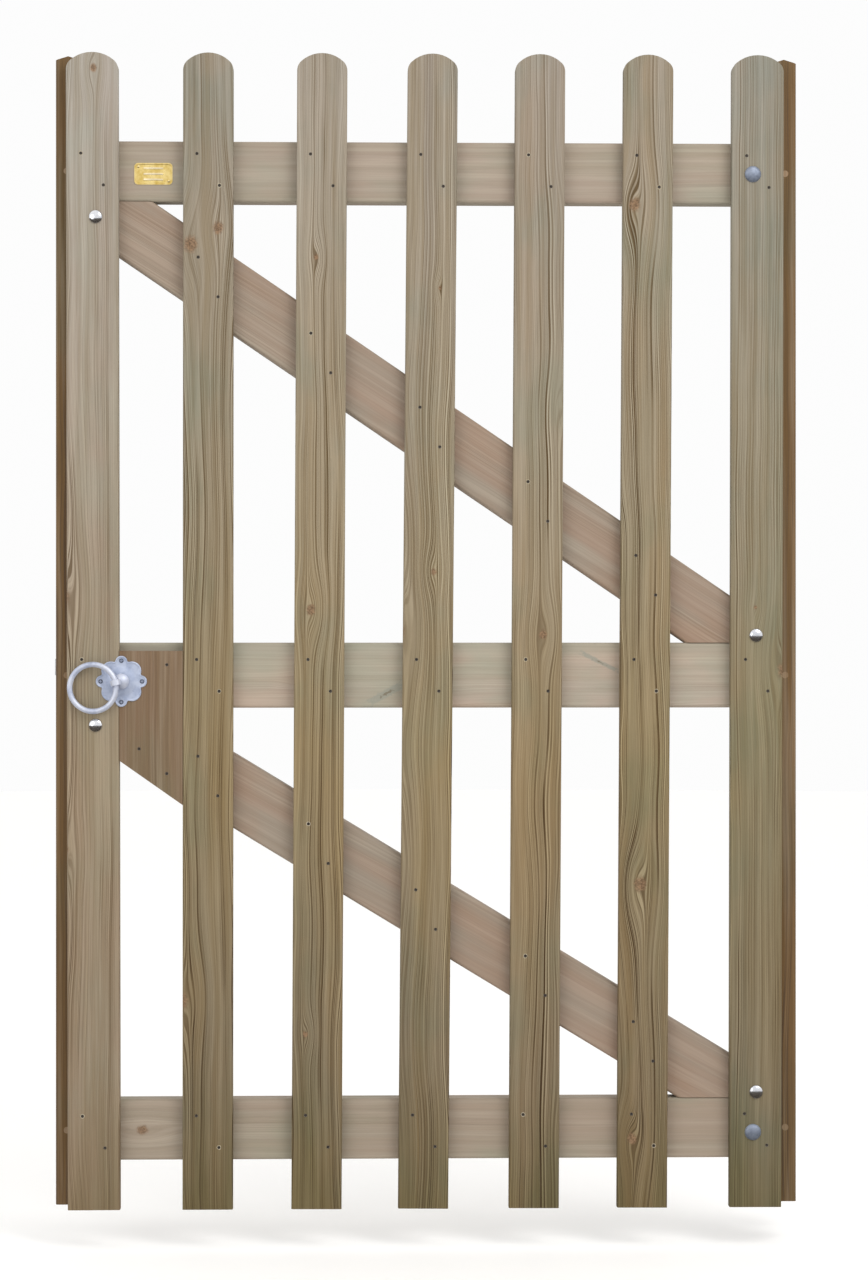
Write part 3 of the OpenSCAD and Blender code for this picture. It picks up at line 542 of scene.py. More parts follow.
railLook = {
    "ringGap": 6.5 * mm, "pith": (60 * mm, 30 * mm), "wander": 3 * mm, "halo": "958066",
    "lineDepth": 0.1, "lineAtHead": 1.0, "fibreDepth": 0.06, "streakDepth": 0.2,
}
railLooks = {
    "top_rail": {
        "seed": 31.0, "clear": "958B7A", "warm": "98897B", "green": "8E8B7B",
        "knots": [(0.0, 0.33, 3 * mm)],
    },
    "middle_rail": {
        "seed": 34.5, "clear": "A69689", "warm": "AA9786", "green": "939382", "paintedSkyLight": 0.5,
        "scars": [(28 * mm, -0.0625, 0.52, 34 * mm, 6.5 * mm), (-20 * mm, 0.263, -0.47, 36 * mm, 3.5 * mm)],
        "knots": [(6 * mm, -0.19, 4 * mm)],
    },
    "bottom_rail": {
        "seed": 38.2, "clear": "958979", "warm": "978777", "green": "8B8874",
        "knots": [(0.0, -0.432, 8 * mm)],
    },
}
for railName, ownLook in railLooks.items():
    dressStraight(railName, Vector((1, 0, 0)), {**railLook, **ownLook})

braceLook = {**railLook, "clear": "8B7F71", "warm": "907C6C", "green": "8E7461", "lineDepth": 0.16}
braceBolts = [middleOf(box) for box in partBoxes("brace_bolts")]
braceEnds = {  # the two bolts that a brace runs between, and its seed
    "upper_brace": (braceBolts[0], braceBolts[1], 41.0),
    "lower_brace": (braceBolts[2], braceBolts[3], 44.0),
}
for braceName, (start, end, seed) in braceEnds.items():
    run = end - start
    run.y = 0
    middle = (start + end) / 2
    middle.y = middleOf(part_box(braceName)).y
    dressBoard(braceName, middle, run, {**braceLook, "seed": seed})

stileLook = {
    "ringGap": 4 * mm, "pith": (50 * mm, 50 * mm), "lineDepth": 0.45, "streakDepth": 0.25,
    "clear": "644B2A", "warm": "6A4F2C", "green": "5D4D30",
    "halo": "5E472F", "line": "402E1E", "early": "7C6240",
}
for stileName, seed in (("latch_stile", 52.0), ("hinge_stile", 57.0)):
    dressUpright(stileName, {**stileLook, "seed": seed})
blockLook = {
    "ringGap": 7.5 * mm, "pith": (64 * mm, 40 * mm), "wander": 8 * mm, "seed": 61.0,
    "lineDepth": 0.28, "lineAtHead": 1.0, "streakDepth": 0.25,
    "clear": "715D46", "warm": "735A44", "green": "6A5D45",
    "halo": "6E583C", "line": "4B3925", "early": "8E7858",
}
dressStraight("lock_block", Vector((0, 0, 1)), blockLook)
dowelLook = {
    **stileLook, "clear": "8A7256", "warm": "94785A",
    "pith": (3 * mm, 4 * mm), "ringGap": 1.4 * mm, "seed": 52.0,
}
dressStraight("tenon_dowels", Vector((0, 0, 1)), dowelLook)
print("frame timber grained")

metalGrain = {
    "grit": 2600,
    "scratches": (300, 3000, 2400),
    "stains": 90,
    "rubbed": "F2F2F2",           # colour of edges that are rubbed bright
    "rubbedShare": 0.35,
    "reliefDepth": 0.1 * mm,
}


def metalMaterial(name, look):
    # plated or cast metal: spangle, a dull film, fine scratches and rubbed edges
    material, tree, shader = startMaterial(name)
    place = tree.nodes.new("ShaderNodeTexCoord").outputs["Object"]
    cells = tree.nodes.new("ShaderNodeTexVoronoi")
    cells.inputs["Scale"].default_value = look["spangle"]
    feed(tree, cells.inputs["Vector"], place)
    flake = tree.nodes.new("ShaderNodeSeparateColor")
    feed(tree, flake.inputs[0], cells.outputs["Color"])
    film = noiseOf(tree, place, look["filmScale"], 4, 0.6)
    grit = noiseOf(tree, place, metalGrain["grit"], 2)
    scratch = noiseOf(tree, stretched(tree, place, metalGrain["scratches"]), 1, 2)
    stain = noiseOf(tree, place, metalGrain["stains"], 4, 0.7)
    corner = tree.nodes.new("ShaderNodeNewGeometry").outputs["Pointiness"]

    shade = blendTint(tree, ramp(tree, film, 0.35, 0.68), tint(look["bright"]), tint(look["dull"]))
    flakeShare = ramp(tree, flake.outputs[0], 0, 1, 0, look["spangleDepth"], False)
    shade = blendTint(tree, flakeShare, shade, tint(look["flake"]))
    shade = blendTint(tree, ramp(tree, stain, 0.6, 0.78, 0, look["stainDepth"]), shade, tint(look["stain"]))
    rubbed = ramp(tree, corner, 0.52, 0.62, 0, metalGrain["rubbedShare"])
    shade = blendTint(tree, rubbed, shade, tint(metalGrain["rubbed"]))
    feed(tree, shader.inputs["Base Color"], shade)
    shader.inputs["Metallic"].default_value = look["metallic"]
    rough = ramp(tree, film, 0.25, 0.75, look["rough"] - 0.07, look["rough"] + 0.1, False)
    rough = added(tree, rough, scaled(tree, flake.outputs[1], look["spangleDepth"] * 0.2))
    feed(tree, shader.inputs["Roughness"], rough)
    height = added(tree, scaled(tree, grit, 0.6), scaled(tree, scratch, 0.4))
    addRelief(tree, shader, height, look["relief"], metalGrain["reliefDepth"])
    return material


metalLooks = {
    "castZinc": {
        "slot": "bright_zinc", "bright": "CDD1DE", "dull": "ADB4C8", "flake": "BEC4D6", "stain": "868EA2",
        "stainDepth": 0.5, "spangle": 420, "spangleDepth": 0.35, "filmScale": 45,
        "metallic": 0.4, "rough": 0.42, "relief": 0.35,
    },
    # the ring's cast zinc made darker: painted shade on the rose
    "shadedRoseZinc": {
        "slot": "bright_zinc", "bright": "B9C1D4", "dull": "98A3BC", "flake": "ABB4CA", "stain": "737E96",
        "stainDepth": 0.6, "spangle": 380, "spangleDepth": 0.4, "filmScale": 55,
        "metallic": 0.4, "rough": 0.42, "relief": 0.4,
    },
    # screw heads painted dark blue-grey: painted shade of their recesses in the rose
    "screwHeadInShade": {
        "slot": "bright_zinc", "bright": "5C6478", "dull": "434B60", "flake": "6C7488", "stain": "2E3446",
        "stainDepth": 0.6, "spangle": 600, "spangleDepth": 0.3, "filmScale": 200,
        "metallic": 0.6, "rough": 0.45, "relief": 0.3,
    },
    "shinyZinc": {
        "slot": "zinc_plate", "bright": "EDEDF0", "dull": "D2D4DA", "flake": "DDE0E6", "stain": "9A958C",
        "stainDepth": 0.3, "spangle": 500, "spangleDepth": 0.15, "filmScale": 60,
        "metallic": 1.0, "rough": 0.13, "relief": 0.08,
    },
    "galvanised": {
        "slot": "galvanised_steel", "bright": "A6ACB6", "dull": "868D98", "flake": "BCC2CC", "stain": "6A6660",
        "stainDepth": 0.5, "spangle": 170, "spangleDepth": 0.6, "filmScale": 30,
        "metallic": 0.85, "rough": 0.46, "relief": 0.4,
    },
    "dullBolt": {
        "slot": "galvanised_steel", "bright": "8A92A2", "dull": "6E7686", "flake": "98A0B0", "stain": "565C68",
        "stainDepth": 0.5, "spangle": 300, "spangleDepth": 0.4, "filmScale": 60,
        "metallic": 0.7, "rough": 0.5, "relief": 0.45,
    },
    "brightSteel": {
        "slot": "zinc_plate", "bright": "C9CBD0", "dull": "B0B2B8", "flake": "D6D8DE", "stain": "8C8880",
        "stainDepth": 0.35, "spangle": 350, "spangleDepth": 0.2, "filmScale": 50,
        "metallic": 1.0, "rough": 0.3, "relief": 0.25,
    },
    # nail heads painted dark brown, part rust and part painted shade of the holes they sit in
    "rustAndShadeNail": {
        "slot": "galvanised_steel", "bright": "3C342C", "dull": "2A221B", "flake": "4A4238", "stain": "2A1C12",
        "stainDepth": 0.7, "spangle": 900, "spangleDepth": 0.3, "filmScale": 300,
        "metallic": 0.2, "rough": 0.7, "relief": 0.4,
    },
    "brass": {
        "slot": "brass_plate", "bright": "E9D08A", "dull": "CDAE58", "flake": "F0DEA4", "stain": "8A6424",
        "stainDepth": 0.6, "spangle": 250, "spangleDepth": 0.15, "filmScale": 110,
        "metallic": 0.85, "rough": 0.3, "relief": 0.25,
    },
}
metals = {}
for metalName, metalLook in metalLooks.items():
    metals[metalName] = metalMaterial("metal_" + metalName, metalLook)
print("metal finishes made")


# shaping tools for the ironwork

def turned(profile, steps, closed=False):
    # a profile of (radius, along) points spun round the Y axis
    bm = bmesh.new()
    verts = [bm.verts.new((radius, along, 0)) for radius, along in profile]
    edges = [bm.edges.new(pair) for pair in zip(verts, verts[1:])]
    if closed:
        edges.append(bm.edges.new((verts[-1], verts[0])))
    bmesh.ops.spin(bm, geom=verts + edges, axis=(0, 1, 0), cent=(0, 0, 0),
                   angle=2 * math.pi, steps=steps, use_merge=True)
    bmesh.ops.remove_doubles(bm, verts=bm.verts, dist=weldReach)
    return bm


def moved(bm, vec):
    bmesh.ops.translate(bm, verts=bm.verts, vec=vec)
    return bm


def spunAbout(bm, degrees, axis):
    turn = Matrix.Rotation(math.radians(degrees), 3, axis)
    bmesh.ops.rotate(bm, cent=(0, 0, 0), matrix=turn, verts=bm.verts)
    return bm


def joined(shapes):
    whole = bmesh.new()
    for shape in shapes:
        held = bpy.data.meshes.new("held")
        shape.to_mesh(held)
        shape.free()
        whole.from_mesh(held)
        bpy.data.meshes.remove(held)
    return whole


def finishPiece(name, bm, material, body, replaced=(), sharpAngle=34, evenFaces=False):
    # turns the faces outward, keeps hard edges hard and hands the piece to its body
    bmesh.ops.recalc_face_normals(bm, faces=bm.faces)
    for face in bm.faces:
        face.smooth = True
    for edge in bm.edges:
        edge.smooth = len(edge.link_faces) == 2 and edge.calc_face_angle(0.0) < math.radians(sharpAngle)
    openEdges = sum(len(edge.link_faces) != 2 for edge in bm.edges)
    mesh = bpy.data.meshes.new(name)
    bm.to_mesh(mesh)
    bm.free()
    piece = bpy.data.objects.new(name, mesh)
    bpy.context.scene.collection.objects.link(piece)
    mesh.materials.append(material)
    if evenFaces:
        # wide flat faces shade flat beside a rounded edge
        shading = piece.modifiers.new("even_faces", "WEIGHTED_NORMAL")
        shading.keep_sharp = True
    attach(piece, body)
    if replaced:
        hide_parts(*replaced)
    print(name, len(mesh.polygons), "faces,", openEdges, "open edges")


def finishMetal(name, bm, metalName, nodeName, body="leaf", sharpAngle=34, evenFaces=False):
    # the same metal goes on the plain node that the piece stands for
    dress(nodeName, metals[metalName])
    finishPiece(name, bm, metals[metalName], body, [nodeName], sharpAngle, evenFaces)


def domeProfile(radius, height, rimAt, steps=9):
    # a button head that stands toward the front of the gate
    points = []
    for k in range(steps + 1):
        angle = math.pi / 2 * k / steps
        points.append((radius * math.sin(angle), rimAt - height * math.cos(angle)))
    return points


threadRoot = 0.88  # radius at the bottom of a thread over the radius at its crest


def threadProfile(radius, start, end, pitch):
    points = [(radius, start)]
    count = int((end - start) / pitch)
    for k in range(count):
        points.append((radius * threadRoot, start + (k + 0.5) * pitch))
        points.append((radius, start + (k + 1) * pitch))
    return points


def softened(nodeName, offset, sharpest=35):
    # a merged copy of a forged or pressed part with its edges rubbed round
    bm = mergedCopy(nodeName)
    bmesh.ops.dissolve_limit(bm, angle_limit=math.radians(0.6), verts=bm.verts, edges=bm.edges)
    hard = [edge for edge in bm.edges if edge.calc_face_angle(0.0) > math.radians(sharpest)]
    bmesh.ops.bevel(bm, geom=hard, offset=offset, segments=2, profile=0.5, affect="EDGES",
                    material=-1, clamp_overlap=True)
    return bm


def ringStep(bm, edges, radiusAt, along):
    # carries a closed ring of edges to its next place round the Y axis
    made = bmesh.ops.extrude_edge_only(bm, edges=edges)
    verts = {part for part in made["geom"] if isinstance(part, bmesh.types.BMVert)}
    for vert in verts:
        angle = math.atan2(vert.co.z, vert.co.x)
        radius = radiusAt(angle)
        vert.co = (radius * math.cos(angle), along, radius * math.sin(angle))
    sides = [part for part in made["geom"] if isinstance(part, bmesh.types.BMEdge)]
    return [edge for edge in sides if set(edge.verts) <= verts]


# bolts and nuts

braceBolt = {
    "headHeight": 4.5 * mm, "headRadius": 10.5 * mm, "shankRadius": 4 * mm, "thread": 22 * mm,
    "pitch": 1.25 * mm, "bareEnd": 1 * mm, "tip": 0.78, "around": 40,
}
hingeBolt = {
    **braceBolt, "headHeight": 5 * mm, "headRadius": 12.5 * mm, "shankRadius": 5 * mm, "thread": 26 * mm,
}


def coachBolt(box, bolt):
    low, high = box
    middle = middleOf(box)
    front = low.y + bolt["headHeight"]
    length = high.y - front
    shank = bolt["shankRadius"]
    profile = domeProfile(bolt["headRadius"], bolt["headHeight"], 0.0) + [(shank, 0.0)]
    profile += threadProfile(shank, length - bolt["thread"], length - bolt["bareEnd"], bolt["pitch"])
    profile += [(shank * bolt["tip"], length), (0.0, length)]
    return moved(turned(profile, bolt["around"]), (middle.x, front, middle.z))


nutChamfer = 0.7 * mm


def nutShape(box):
    # six sides with the corners of both faces taken off, standing as its box says
    low, high = box
    flats = high.z - low.z
    corner = flats / math.sqrt(3)
    bm = bmesh.new()
    bmesh.ops.create_cone(bm, cap_ends=True, segments=6, radius1=corner, radius2=corner, depth=high.y - low.y)
    spunAbout(bm, 90, "X")
    if max(vert.co.x for vert in bm.verts) < flats * 0.55:
        spunAbout(bm, 30, "Y")
    rims = [edge for edge in bm.edges if abs(edge.verts[0].co.y - edge.verts[1].co.y) < weldReach]
    bmesh.ops.bevel(bm, geom=rims, offset=nutChamfer, segments=2, profile=0.5, affect="EDGES", material=-1)
    return moved(bm, middleOf(box))


washerEase = 0.45  # rounding of a washer's corners over half its thickness


def washerShape(box, holeRadius):
    low, high = box
    outer = (high.x - low.x) / 2
    half = (high.y - low.y) / 2
    ease = half * washerEase
    profile = [(holeRadius, -half + ease), (holeRadius + ease, -half),
               (outer - ease, -half), (outer, -half + ease),
               (outer, half - ease), (outer - ease, half),
               (holeRadius + ease, half), (holeRadius, half - ease)]
    return moved(turned(profile, 44, closed=True), middleOf(box))


for pieceName, nodeName, bolt, metalName in (
        ("brace_coach_bolts", "brace_bolts", braceBolt, "shinyZinc"),
        ("hinge_coach_bolts", "hinge_bolts", hingeBolt, "dullBolt")):
    shapes = [coachBolt(box, bolt) for box in partBoxes(nodeName)]
    finishMetal(pieceName, joined(shapes), metalName, nodeName)
for pieceName, nodeName, metalName in (
        ("brace_hex_nuts", "brace_nuts", "brightSteel"),
        ("hinge_hex_nuts", "hinge_nuts", "galvanised")):
    shapes = [nutShape(box) for box in partBoxes(nodeName)]
    finishMetal(pieceName, joined(shapes), metalName, nodeName, evenFaces=True)
for pieceName, nodeName, holeRadius, metalName in (
        ("brace_round_washers", "brace_washers", 4.2 * mm, "brightSteel"),
        ("hinge_round_washers", "hinge_washers", 5.2 * mm, "galvanised")):
    shapes = [washerShape(box, holeRadius) for box in partBoxes(nodeName)]
    finishMetal(pieceName, joined(shapes), metalName, nodeName)

# screws and nails

coachLook = {
    "headHeight": 5.5 * mm, "shank": 3.4 * mm, "point": 6 * mm, "bareNeck": 2 * mm, "pitch": 2.4 * mm,
    "flange": 0.58,               # flange radius over the head's width across its flats
    "flangeUnder": 0.56,
    "flangeEdge": 0.5 * mm,
    "flangeTop": 1.1 * mm,
    "flangeSeat": 1.2 * mm,
    "around": 28,
}


def coachScrew(box):
    # a hexagon head on a round flange, a plain shank, a coarse thread and a point
    low, high = box
    middle = middleOf(box)
    flats = high.z - low.z
    underHead = high.y - coachLook["headHeight"]
    seat = underHead - low.y
    shank = coachLook["shank"]
    head = nutShape((Vector((low.x, underHead, low.z)), high))
    profile = [(0.0, 0.0)]
    profile += threadProfile(shank, coachLook["point"], seat - coachLook["bareNeck"], coachLook["pitch"])
    profile += [
        (shank, seat),
        (flats * coachLook["flangeUnder"], seat),
        (flats * coachLook["flange"], seat + coachLook["flangeEdge"]),
        (flats * 0.5, seat + coachLook["flangeTop"]),
        (0.0, seat + coachLook["flangeSeat"]),
    ]
    return [head, moved(turned(profile, coachLook["around"]), (middle.x, low.y, middle.z))]


screwShapes = []
for box in partBoxes("hinge_screws"):
    screwShapes += coachScrew(box)
finishMetal("hinge_coach_screws", joined(screwShapes), "galvanised", "hinge_screws")

nail = {
    "headRadius": 2.5 * mm, "headDepth": 1.4 * mm, "shankRadius": 1.5 * mm, "dimple": 0.35 * mm,
    "edgeFrom": 0.2 * mm, "edgeTo": 0.6 * mm, "point": 4 * mm, "around": 16,
}


def nailShape(box):
    low, high = box
    middle = middleOf(box)
    length = high.y - low.y
    radius, shank, dimple = nail["headRadius"], nail["shankRadius"], nail["dimple"]
    profile = [(0.0, dimple), (radius * 0.5, dimple * 0.7), (radius * 0.86, 0.0),
               (radius * 0.98, nail["edgeFrom"]), (radius * 0.98, nail["edgeTo"]),
               (shank, nail["headDepth"]), (shank, length - nail["point"]), (0.0, length)]
    return moved(turned(profile, nail["around"]), (middle.x, low.y, middle.z))


nailBoxes = partBoxes("picket_nails")
for pieceName, nodeName, boxes in (
        ("picket_wire_nails", "picket_nails", nailBoxes),
        ("lock_block_wire_nails", "lock_block_nails", partBoxes("lock_block_nails"))):
    shapes = [nailShape(box) for box in boxes]
    finishMetal(pieceName, joined(shapes), "rustAndShadeNail", nodeName)

tornWood = {
    "everyNail": 4,               # one nail in so many has torn fibres
    "inner": 2.5 * mm,
    "outer": 3.9 * mm,
    "height": 0.2 * mm,
    "sunk": 0.25 * mm,
    "fray": (0.82, 1.12),
    "alongGrain": 1.25,
    "lift": (0.2, 1.0),
    "around": 18,
    "seed": 5,
}
tornLook = {
    "clear": "AEA48F", "warm": "A89C82", "green": "9E9883", "lineDepth": 0.3, "fibreDepth": 0.3, "seed": 71.0,
}
tornMaterial = timberMaterial("timber_torn_fibres", Vector((0, 0, 0)), Vector((0, 0, 1)), 1.0, tornLook)
fibreDice = random.Random(tornWood["seed"])
inner, outer = tornWood["inner"], tornWood["outer"]
lips = []
for box in nailBoxes[::tornWood["everyNail"]]:
    middle = middleOf(box)
    profile = [(inner, tornWood["sunk"]), (inner * 1.08, -tornWood["height"]),
               (outer * 0.8, -tornWood["height"] * 0.6), (outer, tornWood["sunk"])]
    lip = turned(profile, tornWood["around"], closed=True)
    for vert in lip.verts:
        if Vector((vert.co.x, vert.co.z)).length > inner * 1.3:
            reach = fibreDice.uniform(*tornWood["fray"])
            vert.co.x *= reach
            vert.co.z *= reach * tornWood["alongGrain"]
        if vert.co.y < 0:
            vert.co.y *= fibreDice.uniform(*tornWood["lift"])
    lips.append(moved(lip, (middle.x, frontY, middle.z)))
finishPiece("torn_fibres_at_nails", joined(lips), tornMaterial, "leaf")
print("bolts, screws and nails made")

crossScrew = {                    # shares are of the head's radius
    "flatTop": 0.93, "rimFrom": 0.12 * mm, "rimTo": 0.3 * mm, "shank": 0.5, "cone": 0.62,
    "neck": 1 * mm, "point": 3 * mm, "pitch": 1.3 * mm, "around": 32,
    "crossReach": 0.55, "crossHalf": 0.14, "crossDepth": 0.8 * mm,
}


def cutRecess(bm, reach, half, depth):
    # sinks a cross into the flat head of a screw that looks to the front
    for axis in ((1, 0, 0), (0, 0, 1)):
        for offset in (-reach, -half, half, reach):
            bmesh.ops.bisect_plane(bm, geom=bm.verts[:] + bm.edges[:] + bm.faces[:], dist=1e-7,
                                   plane_co=Vector(axis) * offset, plane_no=axis)
    chosen = []
    for face in bm.faces:
        spot = face.calc_center_median()
        offX, offZ = abs(spot.x), abs(spot.z)
        if face.normal.y < -0.7 and max(offX, offZ) < reach and min(offX, offZ) < half:
            chosen.append(face)
    made = bmesh.ops.extrude_face_region(bm, geom=chosen)
    sunk = [part for part in made["geom"] if isinstance(part, bmesh.types.BMVert)]
    bmesh.ops.translate(bm, verts=sunk, vec=(0, depth, 0))
    left = [face for face in chosen if face.is_valid]
    bmesh.ops.delete(bm, geom=left, context="FACES_ONLY")
    loose = [edge for edge in bm.edges if not edge.link_faces]
    bmesh.ops.delete(bm, geom=loose, context="EDGES")


def woodScrew(box, facesBack):
    # a countersunk screw with a cross recess, a thread and a point
    low, high = box
    middle = middleOf(box)
    head = (high.x - low.x) / 2
    length = high.y - low.y
    shank = head * crossScrew["shank"]
    cone = head * crossScrew["cone"]
    profile = [(0.0, 0.0), (head * crossScrew["flatTop"], 0.0), (head, crossScrew["rimFrom"]),
               (head, crossScrew["rimTo"]), (shank, cone + crossScrew["rimTo"])]
    threadEnd = length - crossScrew["point"]
    profile += threadProfile(shank, cone + crossScrew["neck"], threadEnd, crossScrew["pitch"])
    bm = turned(profile + [(0.0, length)], crossScrew["around"])
    bmesh.ops.recalc_face_normals(bm, faces=bm.faces)
    cutRecess(bm, head * crossScrew["crossReach"], head * crossScrew["crossHalf"], crossScrew["crossDepth"])
    if facesBack:
        return moved(spunAbout(bm, 180, "Z"), (middle.x, high.y, middle.z))
    return moved(bm, (middle.x, low.y, middle.z))


# ring latch

spindleAt = jointPlaces["spindle_turn"]
rose = {
    "around": 192,
    "roundReach": 22.4 * mm,      # from the middle to a round lobe's own middle
    "roundRadius": 14.2 * mm,
    "tipReach": 29.6 * mm,        # the same for the small lobes that hold the screws
    "tipRadius": 9 * mm,
    "waist": 31.5 * mm,
    "thick": 2 * mm,
    "rim": (                      # steps of the raised rim: inset in mm, share of the thickness
        (0.0, 0.4), (0.0, 0.72), (0.35, 0.92), (0.9, 1.0),
        (1.9, 1.0), (2.5, 0.9), (3.0, 0.76), (3.6, 0.72),
    ),
    "fieldInset": 3.6 * mm,       # where the rim ends
    "fieldShare": 0.72,
    "fieldSteps": (0.25, 0.5, 0.75, 1.0),
    "fieldGap": 0.8 * mm,
    "dome": 3.4 * mm,
    "domeRadius": 22 * mm,
    "domeSteps": 8,
    "domeFoot": 0.1 * mm,
    "hole": 5.15 * mm,
    "holeEase": 0.2 * mm,
}


def lobeReach(angle, reach, radius):
    side = reach * math.sin(angle)
    if math.cos(angle) <= 0 or abs(side) >= radius:
        return 0.0
    return reach * math.cos(angle) + math.sqrt(radius ** 2 - side ** 2)


def roseOutline(angle):
    quarter = math.pi / 2
    fromTip = (angle + quarter / 2) % quarter - quarter / 2
    fromRound = angle % quarter - quarter / 2
    return max(rose["waist"], lobeReach(fromTip, rose["tipReach"], rose["tipRadius"]),
               lobeReach(fromRound, rose["roundReach"], rose["roundRadius"]))


def rosePlate():
    bm = bmesh.new()
    bmesh.ops.create_circle(bm, cap_ends=False, segments=rose["around"], radius=rose["domeRadius"])
    spunAbout(bm, 90, "X")
    for vert in bm.verts:
        angle = math.atan2(vert.co.z, vert.co.x)
        vert.co = Vector((math.cos(angle), 0, math.sin(angle))) * roseOutline(angle)
    backEdges = bm.edges[:]
    edges = backEdges
    field = -rose["fieldShare"] * rose["thick"]
    domeFrom = rose["domeRadius"] + rose["fieldGap"]
    for inset, share in rose["rim"]:
        edges = ringStep(bm, edges, lambda angle: roseOutline(angle) - inset * mm, -share * rose["thick"])
    for share in rose["fieldSteps"]:
        edges = ringStep(
            bm, edges,
            lambda angle: (roseOutline(angle) - rose["fieldInset"]) * (1 - share) + domeFrom * share, field)
    for k in range(1, rose["domeSteps"] + 1):
        share = k / rose["domeSteps"]
        reach = rose["domeRadius"] * (1 - share) + (rose["hole"] + rose["holeEase"]) * share
        rise = rose["dome"] * (1 - (reach / rose["domeRadius"]) ** 2)
        foot = rose["domeFoot"] if k == 1 else 0.0
        edges = ringStep(bm, edges, lambda angle: reach, field - rise - foot)
    edges = ringStep(bm, edges, lambda angle: rose["hole"], 0.0)
    bmesh.ops.bridge_loops(bm, edges=backEdges + edges)
    return moved(bm, (spindleAt.x, frontY, spindleAt.z))


finishMetal("rose_plate_cast", rosePlate(), "shadedRoseZinc", "rose_plate", sharpAngle=50)
roseScrews = [woodScrew(box, False) for box in partBoxes("rose_screws")]
finishMetal("rose_cross_screws", joined(roseScrews), "screwHeadInShade", "rose_screws")

ringBar = {"radius": 35.35 * mm, "bar": 4.15 * mm, "lean": 6.0, "dip": 13.0, "around": 128, "barAround": 28}


def ringHandle():
    # a round bar bent to a circle, closed where it passes through the eye
    bm = bmesh.new()
    bmesh.ops.create_circle(bm, cap_ends=False, segments=ringBar["barAround"], radius=ringBar["bar"])
    moved(bm, (ringBar["radius"], 0, 0))
    bmesh.ops.spin(bm, geom=bm.verts[:] + bm.edges[:], axis=(0, 1, 0), cent=(0, 0, 0),
                   angle=2 * math.pi, steps=ringBar["around"], use_merge=True)
    bmesh.ops.remove_doubles(bm, verts=bm.verts, dist=weldReach)
    moved(bm, (-ringBar["radius"], 0, 0))
    spunAbout(bm, -ringBar["lean"], "Z")
    spunAbout(bm, -ringBar["dip"], "Y")
    return moved(bm, jointPlaces["ring_swing"])


finishMetal("ring_handle", ringHandle(), "castZinc", "ring", "ring", sharpAngle=60)
finishMetal("spindle_and_eye", softened("spindle", 0.5 * mm, 40), "castZinc", "spindle", "spindle",
            sharpAngle=40, evenFaces=True)
print("ring latch made")

softParts = (  # pressed and forged parts: piece, node, how far the edges are rubbed, metal, body
    ("lifter_tongue", "lifter", 0.5 * mm, "brightSteel", "spindle"),
    ("latch_bar_strip", "latch_bar", 0.7 * mm, "brightSteel", "latch_bar"),
    ("latch_back_plate", "back_plate", 0.5 * mm, "brightSteel", "leaf"),
    ("latch_keeper_strap", "latch_keeper", 0.6 * mm, "brightSteel", "leaf"),
    ("latch_pivot_screw", "pivot_screw", 0.6 * mm, "brightSteel", "leaf"),
    ("latch_pivot_spacer", "pivot_spacer", 0.4 * mm, "brightSteel", "leaf"),
    ("upper_band", "upper_hinge_band", 0.8 * mm, "galvanised", "leaf"),
    ("lower_band", "lower_hinge_band", 0.8 * mm, "galvanised", "leaf"),
    ("upper_hook_forging", "upper_hook_plate", 0.7 * mm, "galvanised", "post_hooks"),
    ("lower_hook_forging", "lower_hook_plate", 0.7 * mm, "galvanised", "post_hooks"),
    ("upper_pin", "upper_hook_pin", 1.4 * mm, "galvanised", "post_hooks"),
    ("lower_pin", "lower_hook_pin", 1.4 * mm, "galvanised", "post_hooks"),
)
for pieceName, nodeName, ease, metalName, body in softParts:
    finishMetal(pieceName, softened(nodeName, ease), metalName, nodeName, body, evenFaces=True)
for pieceName, nodeName in (
        ("back_plate_cross_screws", "back_plate_screws"),
        ("keeper_cross_screws", "keeper_screws")):
    shapes = [woodScrew(box, True) for box in partBoxes(nodeName)]
    finishMetal(pieceName, joined(shapes), "brightSteel", nodeName)

plate = {
    "corner": 6 * mm, "edge": 0.4 * mm, "rim": 1.6 * mm, "slope": 0.6 * mm, "sink": 0.45 * mm,
    "bars": (8.5 * mm, 0.0, -8.5 * mm),  # heights of the three bars from the middle
    "barLength": 30 * mm, "barHeight": 3 * mm, "barThick": 0.8 * mm,
    "barDeep": 0.5 * mm, "barEase": 0.35 * mm,
}


def makersPlate():
    # blank, with a raised rim and three plain bars
    low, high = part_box("maker_plate")
    size = high - low
    bm = bmesh.new()
    bmesh.ops.create_cube(bm, size=1.0)
    bmesh.ops.scale(bm, vec=size, verts=bm.verts)
    corners = [edge for edge in bm.edges if abs(edge.verts[0].co.y - edge.verts[1].co.y) > size.y * 0.5]
    bmesh.ops.bevel(bm, geom=corners, offset=plate["corner"], segments=8, profile=0.5,
                    affect="EDGES", material=-1)
    front = [face for face in bm.faces if face.normal.y < -0.9]
    for thickness, depth in ((plate["edge"], 0.0), (plate["rim"], 0.0), (plate["slope"], -plate["sink"])):
        bmesh.ops.inset_region(bm, faces=front, thickness=thickness, depth=depth)
    middle = middleOf((low, high))
    shapes = [moved(bm, middle)]
    for barAt in plate["bars"]:
        bar = bmesh.new()
        bmesh.ops.create_cube(bar, size=1.0)
        bmesh.ops.scale(bar, vec=(plate["barLength"], plate["barThick"], plate["barHeight"]), verts=bar.verts)
        bmesh.ops.bevel(bar, geom=bar.edges[:], offset=plate["barEase"], segments=3, profile=0.5,
                        affect="EDGES", material=-1)
        shapes.append(moved(bar, (middle.x, low.y + plate["barDeep"], middle.z + barAt)))
    return joined(shapes)


finishMetal("makers_plate_blank", makersPlate(), "brass", "maker_plate")

